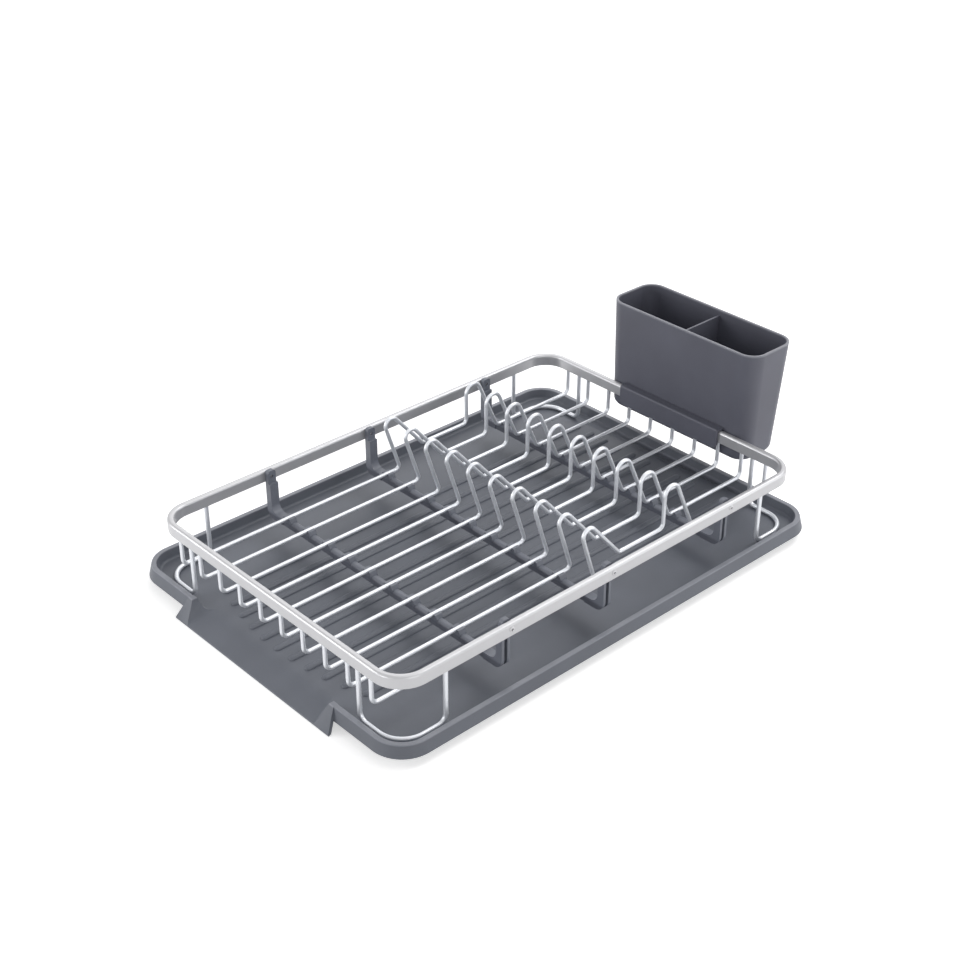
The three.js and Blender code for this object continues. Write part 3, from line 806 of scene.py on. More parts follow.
@dataclass(frozen=True)
class SatinBar:
    """Satin aluminium under a clouded oxide, with faint lines read from the UV map that runs along it."""

    name: str
    colour: Colour
    metal_share: float = 0.55
    roughness: float = 0.36
    roughness_change: float = 0.05
    lines_per_metre: float = 9000.0
    line_detail: float = 2.0
    line_stretch: float = 0.012
    line_depth: float = 0.004 * MM
    line_strength: float = 0.5
    cloud_per_metre: float = 30.0
    cloud_detail: float = 3.0

    def material(self) -> Material:
        """Builds the material.

        Returns:
            The material.
        """
        page = ShaderPage(self.name)
        links = {"Vector": page.place.outputs["UV"], "Scale": (self.line_stretch, 1.0, 1.0)}
        along = page.node("ShaderNodeMapping", links).outputs[0]
        lines = page.noise(along, self.lines_per_metre, self.line_detail)
        cloud = page.noise(page.place.outputs["Object"], self.cloud_per_metre, self.cloud_detail)
        rough = page.vary(cloud, self.roughness, self.roughness_change)
        bump = page.bump(lines, self.line_strength, self.line_depth)
        page.set(Base_Color=linear(self.colour), Metallic=self.metal_share, Roughness=rough, Normal=bump)
        return page.material


@dataclass(frozen=True)
class DrawnWire:
    """Drawn wire with a soft satin coat and a faint unevenness in its polish."""

    name: str
    colour: Colour
    metal_share: float = 0.55
    roughness: float = 0.38
    roughness_change: float = 0.05
    cloud_per_metre: float = 90.0
    cloud_detail: float = 4.0
    pits_per_metre: float = 1800.0
    pit_detail: float = 2.0
    pit_depth: float = 0.01 * MM
    pit_strength: float = 0.4

    def material(self) -> Material:
        """Builds the material.

        Returns:
            The material.
        """
        page = ShaderPage(self.name)
        place = page.place.outputs["Object"]
        cloud = page.noise(place, self.cloud_per_metre, self.cloud_detail)
        pits = page.noise(place, self.pits_per_metre, self.pit_detail)
        rough = page.vary(cloud, self.roughness, self.roughness_change)
        bump = page.bump(pits, self.pit_strength, self.pit_depth)
        page.set(Base_Color=linear(self.colour), Metallic=self.metal_share, Roughness=rough, Normal=bump)
        return page.material


@dataclass
class DripTray:
    """The ribbed drip tray with its spout, feet and hollow wall."""

    finish: MouldedPlastic
    lip_radius: float = 25.5 * MM
    lip_flat: float = 4.2 * MM
    lip_edge: float = 0.6 * MM
    depth: float = 8.6 * MM
    floor_thickness: float = 2 * MM
    flare: float = 2.5 * MM
    draft: float = 1.5 * MM
    fillet: float = 2.5 * MM
    skirt_wall: float = 2 * MM
    foot_height: float = 7.8 * MM
    foot_radius: float = 9 * MM
    foot_taper: float = 1.5 * MM
    foot_inset: float = 34 * MM
    foot_sides: int = 48
    rib_pitch: float = 17.5 * MM
    ribs_per_side: int = 5
    rib_width: float = 6 * MM
    rib_height: float = 1.9 * MM
    rib_start_gap: float = 10.5 * MM
    rib_end_gap: float = 20 * MM
    rib_arc_depth: float = 15 * MM
    rib_steps: int = 64
    rib_sides: int = 24
    rib_least_share: float = 0.02
    spout_reach: float = 7.6 * MM
    spout_half_width: float = 86.4 * MM
    spout_floor_inset: float = 14.4 * MM
    spout_lip_inset: float = 6.7 * MM
    spout_wing_top: float = 5 * MM
    spout_wing_foot: float = 10.9 * MM
    spout_set_back: float = 3 * MM
    spout_lip_thickness: float = 1.5 * MM
    spout_drop: float = 7.6 * MM
    spout_slope_start: float = 11 * MM
    spout_side_power: float = 2.05
    spout_side_steps: int = 14
    spout_steps: int = 26
    spout_bend_share: float = 0.6
    spout_overrun_share: float = 0.05

    def __post_init__(self) -> None:
        """Takes the tray's place and outline from the frame."""
        low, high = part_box("drip_tray")
        self.half_width = (high.y - low.y) / 2 - self.flare
        self.half_length = (high.x - low.x - self.spout_reach) / 2 - self.flare
        self.centre = (high.x - self.flare - self.half_length, (low.y + high.y) / 2)
        self.underside = self.foot_height
        self.floor_top = self.underside + self.floor_thickness
        self.lip_top = self.floor_top + self.depth
        self.lip_x = self.centre[0] - self.half_length - self.flare - self.spout_reach
        self.slope_x = self.centre[0] - self.half_length + self.lip_flat + self.spout_slope_start
        self.spout_low = self.underside - self.spout_drop
        self.spout_top = self.spout_low + self.spout_lip_thickness

    def ring(self, inset: float, height: float) -> list[Vector]:
        """Makes the wall's outline at one inset and height."""
        half_x, half_y = self.half_length - inset, self.half_width - inset
        return rounded_ring(self.centre, half_x, half_y, self.lip_radius - inset, height)

    def shell(self) -> Solid:
        """Builds the wall and floor as one closed moulding.

        Returns:
            The tray before its spout, ribs and feet.
        """
        groove_top = self.lip_top - self.skirt_wall
        middle = self.lip_flat / 2
        wall_foot = self.lip_flat + self.draft
        edge = self.lip_edge
        profile = [
            (wall_foot - self.skirt_wall, self.underside),
            (middle + FIT_GAP, groove_top),
            (middle - FIT_GAP, groove_top),
            (self.skirt_wall - self.flare, self.underside),
            (FIT_GAP - self.flare, self.underside),
            (-self.flare, self.underside + FIT_GAP),
            *arc((edge, self.lip_top - edge), edge, 2, 1, EDGE_STEPS),
            *arc((self.lip_flat - edge, self.lip_top - edge), edge, 1, 0, EDGE_STEPS),
            *arc((wall_foot + self.fillet, self.floor_top + self.fillet), self.fillet, 2, 3),
        ]
        return loft("drip_tray_shell", [self.ring(inset, height) for inset, height in profile], hoop=False)

    def basin(self) -> Solid:
        """Builds the space inside the wall, which the spout's block must leave open.

        Returns:
            The space as a solid.
        """
        inner = self.lip_flat + self.draft + self.fillet
        profile = [
            *reversed(arc((inner, self.floor_top + self.fillet), self.fillet, 2, 3)),
            (self.lip_flat, self.lip_top),
            (self.lip_flat, self.lip_top + CUT_OVERRUN),
        ]
        return loft("tray_basin", [self.ring(inset, height) for inset, height in profile], hoop=False)

    def spout_fall(self, share: float) -> float:
        """Eases the channel's fall, so that it leaves the floor in a soft bend.

        Args:
            share: The share of the way from the floor to the spout's lip.

        Returns:
            The share of the fall that is done there.
        """
        bend = self.spout_bend_share
        if share < 0:
            return share * self.spout_overrun_share
        if share < bend:
            return share**2 / (bend * (2 - bend))
        return (2 * share - bend) / (2 - bend)

    def spout_channel(self, wall: float) -> Solid:
        """Builds the channel whose floor falls through the wall and widens to the spout's lip.

        Args:
            wall: How far the channel is grown below and at its sides.

        Returns:
            The channel as a solid.
        """
        start, end = self.lip_x - CUT_OVERRUN, self.slope_x + CUT_OVERRUN
        outs = [i / self.spout_side_steps for i in range(self.spout_side_steps + 1)]
        rings = []
        for step in range(self.spout_steps + 1):
            x = start + (end - start) * step / self.spout_steps
            share = (x - self.slope_x) / (self.lip_x - self.slope_x)
            floor = self.floor_top + (self.spout_top - self.floor_top) * self.spout_fall(share)
            inset = self.spout_floor_inset + (self.spout_lip_inset - self.spout_floor_inset) * share
            rise, half = self.lip_top - floor, self.spout_half_width + wall
            foot, power = floor - wall, self.spout_side_power
            side = [(half - inset * (1 - out), foot + rise * out**power) for out in outs]
            side.append((half, self.lip_top + CUT_OVERRUN))
            section = side + [(-y, z) for y, z in reversed(side)]
            rings.append([Vector((x, self.centre[1] + y, z)) for y, z in section])
        return loft("spout_channel", rings, hoop=False)

    def spout_hollow(self) -> Solid:
        """Builds the hollow under the spout's wings, which leaves them as plates on the wall.

        Returns:
            The hollow as a solid.
        """
        end = self.centre[0] - self.half_length
        run, rise = self.flare + self.spout_reach, self.lip_top - self.spout_top
        low, wall_x = self.spout_low - CUT_OVERRUN, end - self.flare / 2
        outline = [
            (end + self.spout_set_back - run * (self.lip_top - low) / rise, low),
            (self.slope_x + CUT_OVERRUN, low),
            (self.slope_x + CUT_OVERRUN, self.underside),
            (wall_x, self.underside),
            (wall_x, self.lip_top - (self.flare / 2 + self.spout_set_back) * rise / run),
        ]
        reach = self.half_width
        hollow = plate("spout_hollow", outline, self.centre[1] - reach, self.centre[1] + reach, Across.Y)
        return combine(hollow, [self.spout_channel(self.spout_lip_thickness)], Join.CUT)

    def spout_shell(self) -> Solid:
        """Builds the spout's wings and sloping bottom, whose two sides lean in towards the top.

        Returns:
            The spout before its channel is cut.
        """
        end = self.centre[0] - self.half_length
        outline = [
            (self.slope_x, self.underside),
            (self.slope_x, self.floor_top),
            (end + self.lip_flat, self.lip_top),
            (end, self.lip_top),
            (self.lip_x, self.spout_top),
            (self.lip_x, self.spout_low),
        ]
        foot_half = self.spout_half_width + self.spout_wing_foot
        top_half = self.spout_half_width + self.spout_wing_top
        lean = (foot_half - top_half) / (self.lip_top - self.spout_low)
        ends = (self.spout_low - CUT_OVERRUN, self.lip_top + CUT_OVERRUN)
        far_x, near_x = self.lip_x - CUT_OVERRUN, self.slope_x + CUT_OVERRUN
        sides = []
        for side in (-1, 1):
            edge = [(side * (foot_half - lean * (z - self.spout_low)), z) for z in ends]
            far = [(side * self.half_width, z) for _, z in reversed(edge)]
            trim = [(self.centre[1] + y, z) for y, z in edge + far]
            sides.append(plate("spout_trim", trim, far_x, near_x, Across.X))
        reach = foot_half + CUT_OVERRUN
        shell = plate("spout_shell", outline, self.centre[1] - reach, self.centre[1] + reach, Across.Y)
        return combine(shell, [self.spout_hollow(), *sides], Join.CUT)

    def ribs(self, material: Material) -> Solid:
        """Lays the ribs on the floor.

        Args:
            material: The tray's material.

        Returns:
            The ribs as one plain mesh.
        """
        half = self.half_length - self.lip_flat
        values = {
            "Pitch": self.rib_pitch,
            "Ribs Per Side": self.ribs_per_side,
            "Start": self.centre[0] - half + self.rib_start_gap,
            "End": self.centre[0] + half - self.rib_end_gap,
            "Arc Depth": self.rib_arc_depth,
            "Half Width": self.rib_width / 2,
            "Height": self.rib_height,
            "Material": material,
        }
        tree = floor_rib_tree(self.rib_steps, self.rib_sides, self.rib_least_share)
        ribs = grow(point_object("tray_ribs", [Vector()], False, {}), tree, values)
        for vertex in ribs.data.vertices:
            vertex.co += Vector((0, self.centre[1], self.floor_top))
        return ribs

    def feet(self) -> list[Solid]:
        """Builds the four low feet under the tray.

        Returns:
            The feet.
        """
        out_x, out_y = self.half_length - self.foot_inset, self.half_width - self.foot_inset
        radii = (self.foot_radius - self.foot_taper, self.foot_radius)
        top = self.underside + JOIN_OVERLAP
        made = []
        for side_x in (-1, 1):
            for side_y in (-1, 1):
                place = (self.centre[0] + side_x * out_x, self.centre[1] + side_y * out_y)
                foot = upright_pin("tray_foot", place, radii, 0, top, self.foot_sides)
                made.append(soften(foot, self.foot_taper / 2, EDGE_STEPS))
        return made

    def build(self) -> list[Solid]:
        """Builds and dresses the tray.

        Returns:
            The tray.
        """
        material = self.finish.material()
        tray = self.shell()
        tray.name = "tray_moulding"
        combine(tray, [self.spout_shell()], Join.ADD)
        combine(tray, [self.basin(), self.spout_channel(0)], Join.CUT)
        shade(tray)
        merge(tray, [shade(self.ribs(material)), *map(shade, self.feet())])
        return [dress(tray, Body.TRAY, ["drip_tray"], material)]


@dataclass
class TopRim:
    """The rim bar that every wire hangs from."""

    finish: SatinBar
    radius: float = 26 * MM
    thickness: float = 5.8 * MM
    edge_radius: float = 2.2 * MM
    bottom_edge: float = 0.5 * MM
    socket_depth: float = 5 * MM
    socket_sides: int = 20

    def __post_init__(self) -> None:
        """Takes the rim's place and outline from the frame."""
        low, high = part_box("top_rim")
        self.half_length, self.half_width = (high.x - low.x) / 2, (high.y - low.y) / 2
        self.centre = ((low.x + high.x) / 2, (low.y + high.y) / 2)
        self.bottom, self.top = low.z, high.z
        self.socket_top = self.bottom + self.socket_depth
        self.end_x = self.half_length - self.thickness / 2
        self.end_y = self.half_width - self.thickness / 2

    def hoop(self) -> Solid:
        """Builds the bar as a closed hoop.

        Returns:
            The hoop.
        """
        shoulder = self.top - self.edge_radius
        low = self.bottom + self.bottom_edge
        profile = [
            *arc((self.bottom_edge, low), self.bottom_edge, 3, 2, EDGE_STEPS),
            *arc((self.edge_radius, shoulder), self.edge_radius, 2, 1),
            *arc((self.thickness - self.edge_radius, shoulder), self.edge_radius, 1, 0),
            *arc((self.thickness - self.bottom_edge, low), self.bottom_edge, 4, 3, EDGE_STEPS),
        ]
        rings = [
            rounded_ring(self.centre, self.half_length - i, self.half_width - i, self.radius - i, height)
            for i, height in profile
        ]
        return loft("rim_bar", rings, hoop=True)

    def drill(self, place: Point2, radius: float, sides: int, overrun: float) -> Solid:
        """Builds the round hole that a rivet goes through, from the front of the rack to its back.

        Args:
            place: Its place along the rack and its height.
            radius: The rivet's radius.
            sides: How many sides the hole has.
            overrun: How far it reaches out of the rim.

        Returns:
            The hole as a solid.
        """
        reach = self.half_width + overrun
        outline = circle(place, radius + FIT_GAP / 2, sides)
        return plate("rivet_drill", outline, self.centre[1] - reach, self.centre[1] + reach, Across.Y)

    def build(
        self, sockets: Sequence[Corner], rivet_places: Sequence[Point2], rivet_radius: float
    ) -> list[Solid]:
        """Builds the rim, drills it and dresses it.

        Args:
            sockets: Where each wire end goes in, with the wire's radius.
            rivet_places: The rivets' places along the rim and their heights.
            rivet_radius: The rivets' radius.

        Returns:
            The rim.
        """
        rim = self.hoop()
        low = self.bottom - CUT_OVERRUN
        pattern = upright_pin("socket_pattern", (0, 0), (1, 1), low, self.socket_top, self.socket_sides)
        spots = [(Vector((place.x, place.y, 0)), 0.0, radius + FIT_GAP / 2) for place, radius in sockets]
        combine(rim, [repeated("rim_sockets", pattern, spots)], Join.CUT)
        drills = [self.drill(place, rivet_radius, self.socket_sides, CUT_OVERRUN) for place in rivet_places]
        combine(rim, drills, Join.CUT)
        return [dress(shade(rim), Body.RACK, ["top_rim"], self.finish.material())]


@dataclass
class BentWires:
    """Wires of one thickness and finish, each swept along its corners."""

    finish: DrawnWire
    radius: float
    sides: int
    bend_steps: int

    def bend(self, prefix: str, corners: dict[str, Sequence[Corner]]) -> list[Solid]:
        """Bends and dresses the wires.

        Args:
            prefix: What their names start with.
            corners: Each wire's corners with their bend radii, by the node that it stands for.

        Returns:
            The wires.
        """
        tree, material = bent_wire_tree(), self.finish.material()
        values = {
            "Wire Radius": self.radius,
            "Sides": self.sides,
            "Bend Steps": self.bend_steps,
            "Material": material,
        }
        made = []
        for node, turns in corners.items():
            numbers = {"bend_radius": [radius for _, radius in turns]}
            wire = point_object(prefix + node, [point for point, _ in turns], True, numbers)
            grow(wire, tree, values)
            made.append(dress(shade(wire), Body.RACK, [node], material))
        return made


def apex(start: Point2, rise: float, end: Point2, fall: float) -> Point2:
    """Finds the corner that a hump's two straight sides would meet at.

    Args:
        start: Where the rising side starts.
        rise: The rising side's angle in degrees.
        end: Where the falling side ends.
        fall: The falling side's angle in degrees.

    Returns:
        The corner.
    """
    rise_slope, fall_slope = 1 / math.tan(math.radians(rise)), 1 / math.tan(math.radians(fall))
    run = end[0] - start[0] + start[1] * rise_slope + end[1] * fall_slope
    height = run / (rise_slope + fall_slope)
    return (start[0] + (height - start[1]) * rise_slope, height)


@dataclass
class LongWires(BentWires):
    """The ten long wires, all bent alike, with two humps each."""

    radius: float = 1.7 * MM
    sides: int = 20
    bend_steps: int = 10
    count: int = 10
    end_bend: float = 6 * MM
    raise_height: float = 15.5 * MM
    left_start: float = 8.5 * MM
    left_end: float = 34.4 * MM
    left_rise_angle: float = 108.15
    left_fall_angle: float = 49.4
    left_foot_radius: float = 4 * MM
    left_top_radius: float = 6.3 * MM
    left_end_radius: float = 5 * MM
    right_start: float = 85.8 * MM
    right_end: float = 122.7 * MM
    right_rise_angle: float = 90
    right_fall_angle: float = 65.6
    right_foot_radius: float = 5 * MM
    right_top_radius: float = 8.1 * MM
    right_end_radius: float = 6 * MM

    def __post_init__(self) -> None:
        """Takes the wires' names, heights and row from the frame."""
        self.names = [f"wire_{number:02d}" for number in range(1, self.count + 1)]
        self.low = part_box(self.names[0])[0].z + self.radius
        self.places = [(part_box(name)[0].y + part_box(name)[1].y) / 2 for name in self.names]

    def corners(self, rim: TopRim) -> list[tuple[Point2, float]]:
        """Lists a wire's corners with their bend radii.

        Args:
            rim: The rim that the wire hangs from.

        Returns:
            Each corner's place along the rack and height, and its radius.
        """
        low, high, top = self.low, self.low + self.raise_height, rim.socket_top - FIT_GAP
        left_start, left_end = (self.left_start, low), (self.left_end, high)
        right_start, right_end = (self.right_start, high), (self.right_end, low)
        left_top = apex(left_start, self.left_rise_angle, left_end, self.left_fall_angle)
        right_top = apex(right_start, self.right_rise_angle, right_end, self.right_fall_angle)
        return [
            ((-rim.end_x, top), 0.0),
            ((-rim.end_x, low), self.end_bend),
            (left_start, self.left_foot_radius),
            (left_top, self.left_top_radius),
            (left_end, self.left_end_radius),
            (right_start, self.right_foot_radius),
            (right_top, self.right_top_radius),
            (right_end, self.right_end_radius),
            ((rim.end_x, low), self.end_bend),
            ((rim.end_x, top), 0.0),
        ]

    def build(self, rim: TopRim) -> list[Solid]:
        """Bends and dresses every wire.

        Args:
            rim: The rim that they hang from.

        Returns:
            The wires.
        """
        corners = self.corners(rim)
        wires = {
            name: [(Vector((rim.centre[0] + x, place, z)), radius) for (x, z), radius in corners]
            for name, place in zip(self.names, self.places)
        }
        return self.bend("long_", wires)


@dataclass
class LegLoops(BentWires):
    """The four legs, each one loop of wire round a corner."""

    radius: float = 1.9 * MM
    sides: int = 20
    bend_steps: int = 14
    arm: float = 46 * MM
    foot_bend: float = 7 * MM
    corner_radius: float = 22 * MM
    names: tuple[str, ...] = ("leg_back_right", "leg_back_left", "leg_front_left", "leg_front_right")

    def build(self, rim: TopRim) -> list[Solid]:
        """Bends and dresses the four legs.

        Args:
            rim: The rim that they hang from.

        Returns:
            The legs.
        """
        top = rim.socket_top - FIT_GAP
        inner_x, inner_y = rim.half_length - self.arm, rim.half_width - self.arm
        legs = {}
        for name, (side_x, side_y) in zip(self.names, ((1, 1), (-1, 1), (-1, -1), (1, -1))):
            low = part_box(name)[0].z + self.radius
            corners = [
                (rim.end_x, inner_y, top, 0.0),
                (rim.end_x, inner_y, low, self.foot_bend),
                (rim.end_x, rim.end_y, low, self.corner_radius),
                (inner_x, rim.end_y, low, self.foot_bend),
                (inner_x, rim.end_y, top, 0.0),
            ]
            legs[name] = [
                (Vector((rim.centre[0] + side_x * x, rim.centre[1] + side_y * y, z)), radius)
                for x, y, z, radius in corners
            ]
        return self.bend("loop_", legs)

    def places(self, rim: TopRim) -> list[Vector]:
        """Lists where the legs go into the rim.

        Args:
            rim: The rim that they hang from.

        Returns:
            The places.
        """
        inner_x, inner_y = rim.half_length - self.arm, rim.half_width - self.arm
        spots = []
        for side_x in (-1, 1):
            for side_y in (-1, 1):
                spots.append((side_x * rim.end_x, side_y * inner_y))
                spots.append((side_x * inner_x, side_y * rim.end_y))
        return [Vector((rim.centre[0] + x, rim.centre[1] + y, 0)) for x, y in spots]


@dataclass
class Crossbars:
    """The three moulded cross bars that clip under the wires and are riveted to the rim."""

    finish: MouldedPlastic
    names: tuple[str, ...] = ("crossbar_left", "crossbar_middle", "crossbar_right")
    waist: float = 6.6 * MM
    top_drop: float = 2.3 * MM
    depth: float = 6.1 * MM
    top_round: float = 2.6 * MM
    web: float = 2.2 * MM
    slot: float = 3 * MM
    corner_radius: float = 8 * MM
    post_thickness: float = 6.5 * MM
    inner_radius: float = 7 * MM
    tab_thickness: float = 4 * MM
    tab_corner_radius: float = 2.5 * MM
    clip_wall: float = 2.1 * MM
    clip_rise: float = 0.9 * MM
    clip_flare: float = 1.4 * MM
    edge: float = 0.5 * MM
    edge_steps: int = 2

    def clip_half(self, wires: LongWires) -> float:
        """Gives how far a clip's top reaches from its wire's middle."""
        return wires.radius + FIT_GAP + self.clip_wall

    def waist_cuts(self, wires: LongWires, rim: TopRim, place: float, half: float) -> list[Solid]:
        """Builds the spaces beside the bar, from the first clip to the last, that narrow it there.

        Args:
            wires: The wires that the bar clips to.
            rim: The rim that it is riveted to.
            place: The bar's place along the rack.
            half: Half the bar's width at its ends.

        Returns:
            The two spaces.
        """
        reach = self.clip_half(wires) + self.clip_flare
        near, far = min(wires.places) - reach, max(wires.places) + reach
        low, high = wires.low - self.top_drop - self.depth - CUT_OVERRUN, rim.bottom
        outline = [(near, low), (far, low), (far, high), (near, high)]
        inner, outer = self.waist / 2, half + CUT_OVERRUN
        spans = [sorted((place + side * inner, place + side * outer)) for side in (-1, 1)]
        return [plate("bar_waist", outline, *span, Across.X) for span in spans]

    def rounding_cuts(self, wires: LongWires, place: float) -> list[Solid]:
        """Builds the spaces that leave the bar's top round between each two clips.

        Args:
            wires: The wires that the bar clips to.
            place: The bar's place along the rack.

        Returns:
            The spaces, two for each stretch between clips.
        """
        reach = self.clip_half(wires) + self.clip_flare
        top, over = wires.low - self.top_drop, CUT_OVERRUN
        made = []
        for near, far in zip(sorted(wires.places), sorted(wires.places)[1:]):
            for side in (-1, 1):
                middle = (place + side * (self.waist / 2 - self.top_round), top - self.top_round)
                turn = (1, 0) if side > 0 else (1, 2)
                edge = self.waist / 2 + over
                outline = [
                    *arc(middle, self.top_round, *turn),
                    (place + side * edge, top - self.top_round),
                    (place + side * edge, top + over),
                    (middle[0], top + over),
                ]
                made.append(plate("bar_round", outline, near + reach, far - reach, Across.Y))
        return made

    def outline(self, wires: LongWires, rim: TopRim, post_out: float) -> list[Point2]:
        """Draws the bar's side: a clip on flared shoulders at each wire and a post at each end.

        Args:
            wires: The wires that it clips to.
            rim: The rim that it is riveted to.
            post_out: How far its posts reach from its middle.

        Returns:
            The outline in places across the rack and heights.
        """
        middle = rim.centre[1]
        post_in = post_out - self.post_thickness
        bar_top = wires.low - self.top_drop
        bar_low = bar_top - self.depth
        groove = wires.radius + FIT_GAP / 2
        clip_half, clip_top = self.clip_half(wires), wires.low + self.clip_rise
        turn = math.asin(self.clip_rise / groove) / QUARTER
        outer, inner = self.corner_radius, self.inner_radius
        points = [
            *arc((middle - post_out + outer, bar_low + outer), outer, 2, 3),
            *arc((middle + post_out - outer, bar_low + outer), outer, 3, 4),
            (middle + post_out, rim.bottom),
            (middle + post_in, rim.bottom),
            *arc((middle + post_in - inner, bar_top + inner), inner, 0, -1),
        ]
        for place in sorted(wires.places, reverse=True):
            points += [(place + clip_half + self.clip_flare, bar_top), (place + clip_half, clip_top)]
            points += arc((place, wires.low), groove, turn, -2 - turn, 2 * FILLET_STEPS)
            points += [(place - clip_half, clip_top), (place - clip_half - self.clip_flare, bar_top)]
        points += [
            *arc((middle - post_in + inner, bar_top + inner), inner, 3, 2),
            (middle - post_in, rim.bottom),
            (middle - post_out, rim.bottom),
        ]
        return points

    def slot_cut(self, wires: LongWires, rim: TopRim, post_out: float, place: float) -> Solid:
        """Builds the slot down the posts' outer faces and along the bar's underside.

        Args:
            wires: The wires that the bar clips to.
            rim: The rim that it is riveted to.
            post_out: How far its posts reach from its middle.
            place: The bar's place along the rack.

        Returns:
            The space that is cut away.
        """
        middle = rim.centre[1]
        slot_out, slot_in = post_out + CUT_OVERRUN, post_out - self.post_thickness + self.web
        bar_top = wires.low - self.top_drop
        slot_low, web_low = bar_top - self.depth - CUT_OVERRUN, bar_top - self.web
        top, inner = rim.bottom - self.web, self.inner_radius
        points = [
            (middle - slot_out, slot_low),
            (middle + slot_out, slot_low),
            (middle + slot_out, top),
            (middle + slot_in, top),
            *arc((middle + slot_in - inner, web_low + inner), inner, 0, -1),
            *arc((middle - slot_in + inner, web_low + inner), inner, 3, 2),
            (middle - slot_in, top),
            (middle - slot_out, top),
        ]
        return plate("bar_slot", points, place - self.slot / 2, place + self.slot / 2, Across.X)

    def tab(self, rim: TopRim, high: float, place: float, half: float, face: float, side: int) -> Solid:
        """Builds the tab that stands behind the rim on a post.

        Args:
            rim: The rim that it stands behind.
            high: The tab's top.
            place: The bar's place along the rack.
            half: Half the bar's width.
            face: The place of the tab's outer face.
            side: 1 at the back, -1 at the front.

        Returns:
            The tab.
        """
        low, radius = rim.bottom - JOIN_OVERLAP, self.tab_corner_radius
        points = [
            (place - half, low),
            (place + half, low),
            *arc((place + half - radius, high - radius), radius, 0, 1),
            *arc((place - half + radius, high - radius), radius, 1, 2),
        ]
        return plate("bar_tab", points, *sorted((face, face - side * self.tab_thickness)), Across.Y)

    def build(self, wires: LongWires, rim: TopRim, rivets: "Rivets") -> list[Solid]:
        """Builds and dresses the three bars.

        Args:
            wires: The wires that they clip to.
            rim: The rim that they are riveted to.
            rivets: The rivets that go through their tabs.

        Returns:
            The bars.
        """
        material = self.finish.material()
        made = []
        for name in self.names:
            low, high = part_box(name)
            place, half, post_out = (low.x + high.x) / 2, (high.x - low.x) / 2, (high.y - low.y) / 2
            outline = self.outline(wires, rim, post_out)
            bar = plate("clip_" + name, outline, place - half, place + half, Across.X)
            cuts = self.waist_cuts(wires, rim, place, half) + self.rounding_cuts(wires, place)
            combine(bar, cuts, Join.CUT)
            faces = [(rim.centre[1] + side * post_out, side) for side in (-1, 1)]
            combine(bar, [self.tab(rim, high.z, place, half, face, side) for face, side in faces], Join.ADD)
            drill = rim.drill((place, rivets.height(rim)), rivets.shank_radius, rivets.sides, 0)
            combine(bar, [self.slot_cut(wires, rim, post_out, place), drill], Join.CUT)
            soften(bar, self.edge, self.edge_steps)
            made.append(dress(shade(bar), Body.RACK, [name], material))
        return made


@dataclass
class Rivets:
    """The six rivets that hold the bars' tabs to the rim."""

    finish: SatinBar
    head_radius: float = 2.3 * MM
    head_height: float = 0.8 * MM
    rise: float = 0.6 * MM
    shank_radius: float = 1.3 * MM
    depth_in_tab: float = 2.6 * MM
    hollow_radius: float = 0.95 * MM
    hollow_depth: float = 1.2 * MM
    hollow_lip: float = 0.2 * MM
    sides: int = 28

    def height(self, rim: TopRim) -> float:
        """Gives the rivets' height."""
        return (rim.bottom + rim.top) / 2 + self.rise

    def pattern(self, rim: TopRim) -> Solid:
        """Turns one hollow rivet on its axis, with its domed head towards +Y.

        Args:
            rim: The rim that it goes through.

        Returns:
            The rivet at the origin.
        """
        end = -(rim.thickness + FIT_GAP + self.depth_in_tab)
        mouth = self.hollow_radius + self.hollow_lip
        last = math.acos(mouth / self.head_radius) / QUARTER
        dome = [(self.head_radius * c, SEAT_GAP + self.head_height * s) for c, s in arc((0, 0), 1, 0, last)]
        inside = dome[-1][1] - self.hollow_lip
        profile = [
            (self.shank_radius, end),
            (self.shank_radius, SEAT_GAP),
            *dome,
            (self.hollow_radius, inside),
            (self.hollow_radius, inside - self.hollow_depth),
        ]
        rings = []
        for radius, along in profile:
            rings.append([Vector((x, along, z)) for x, z in circle((0, 0), radius, self.sides)])
        return loft("rivet_pattern", rings, hoop=False)

    def build(self, rim: TopRim, places: Sequence[float]) -> list[Solid]:
        """Sets and dresses the rivets.

        Args:
            rim: The rim that they go through.
            places: Their places along the rack, from left to right.

        Returns:
            The rivets as one piece.
        """
        spots, nodes = [], []
        for place, label in zip(places, ("left", "middle", "right")):
            for row, side, turn in (("front", -1, math.pi), ("back", 1, 0.0)):
                spot = Vector((place, rim.centre[1] + side * rim.half_width, self.height(rim)))
                spots.append((spot, turn, 1.0))
                nodes.append(f"rivet_{row}_{label}")
        material = self.finish.material()
        rivets = repeated("rim_rivets", self.pattern(rim), spots, material)
        return [dress(shade(rivets), Body.RACK, nodes, material)]


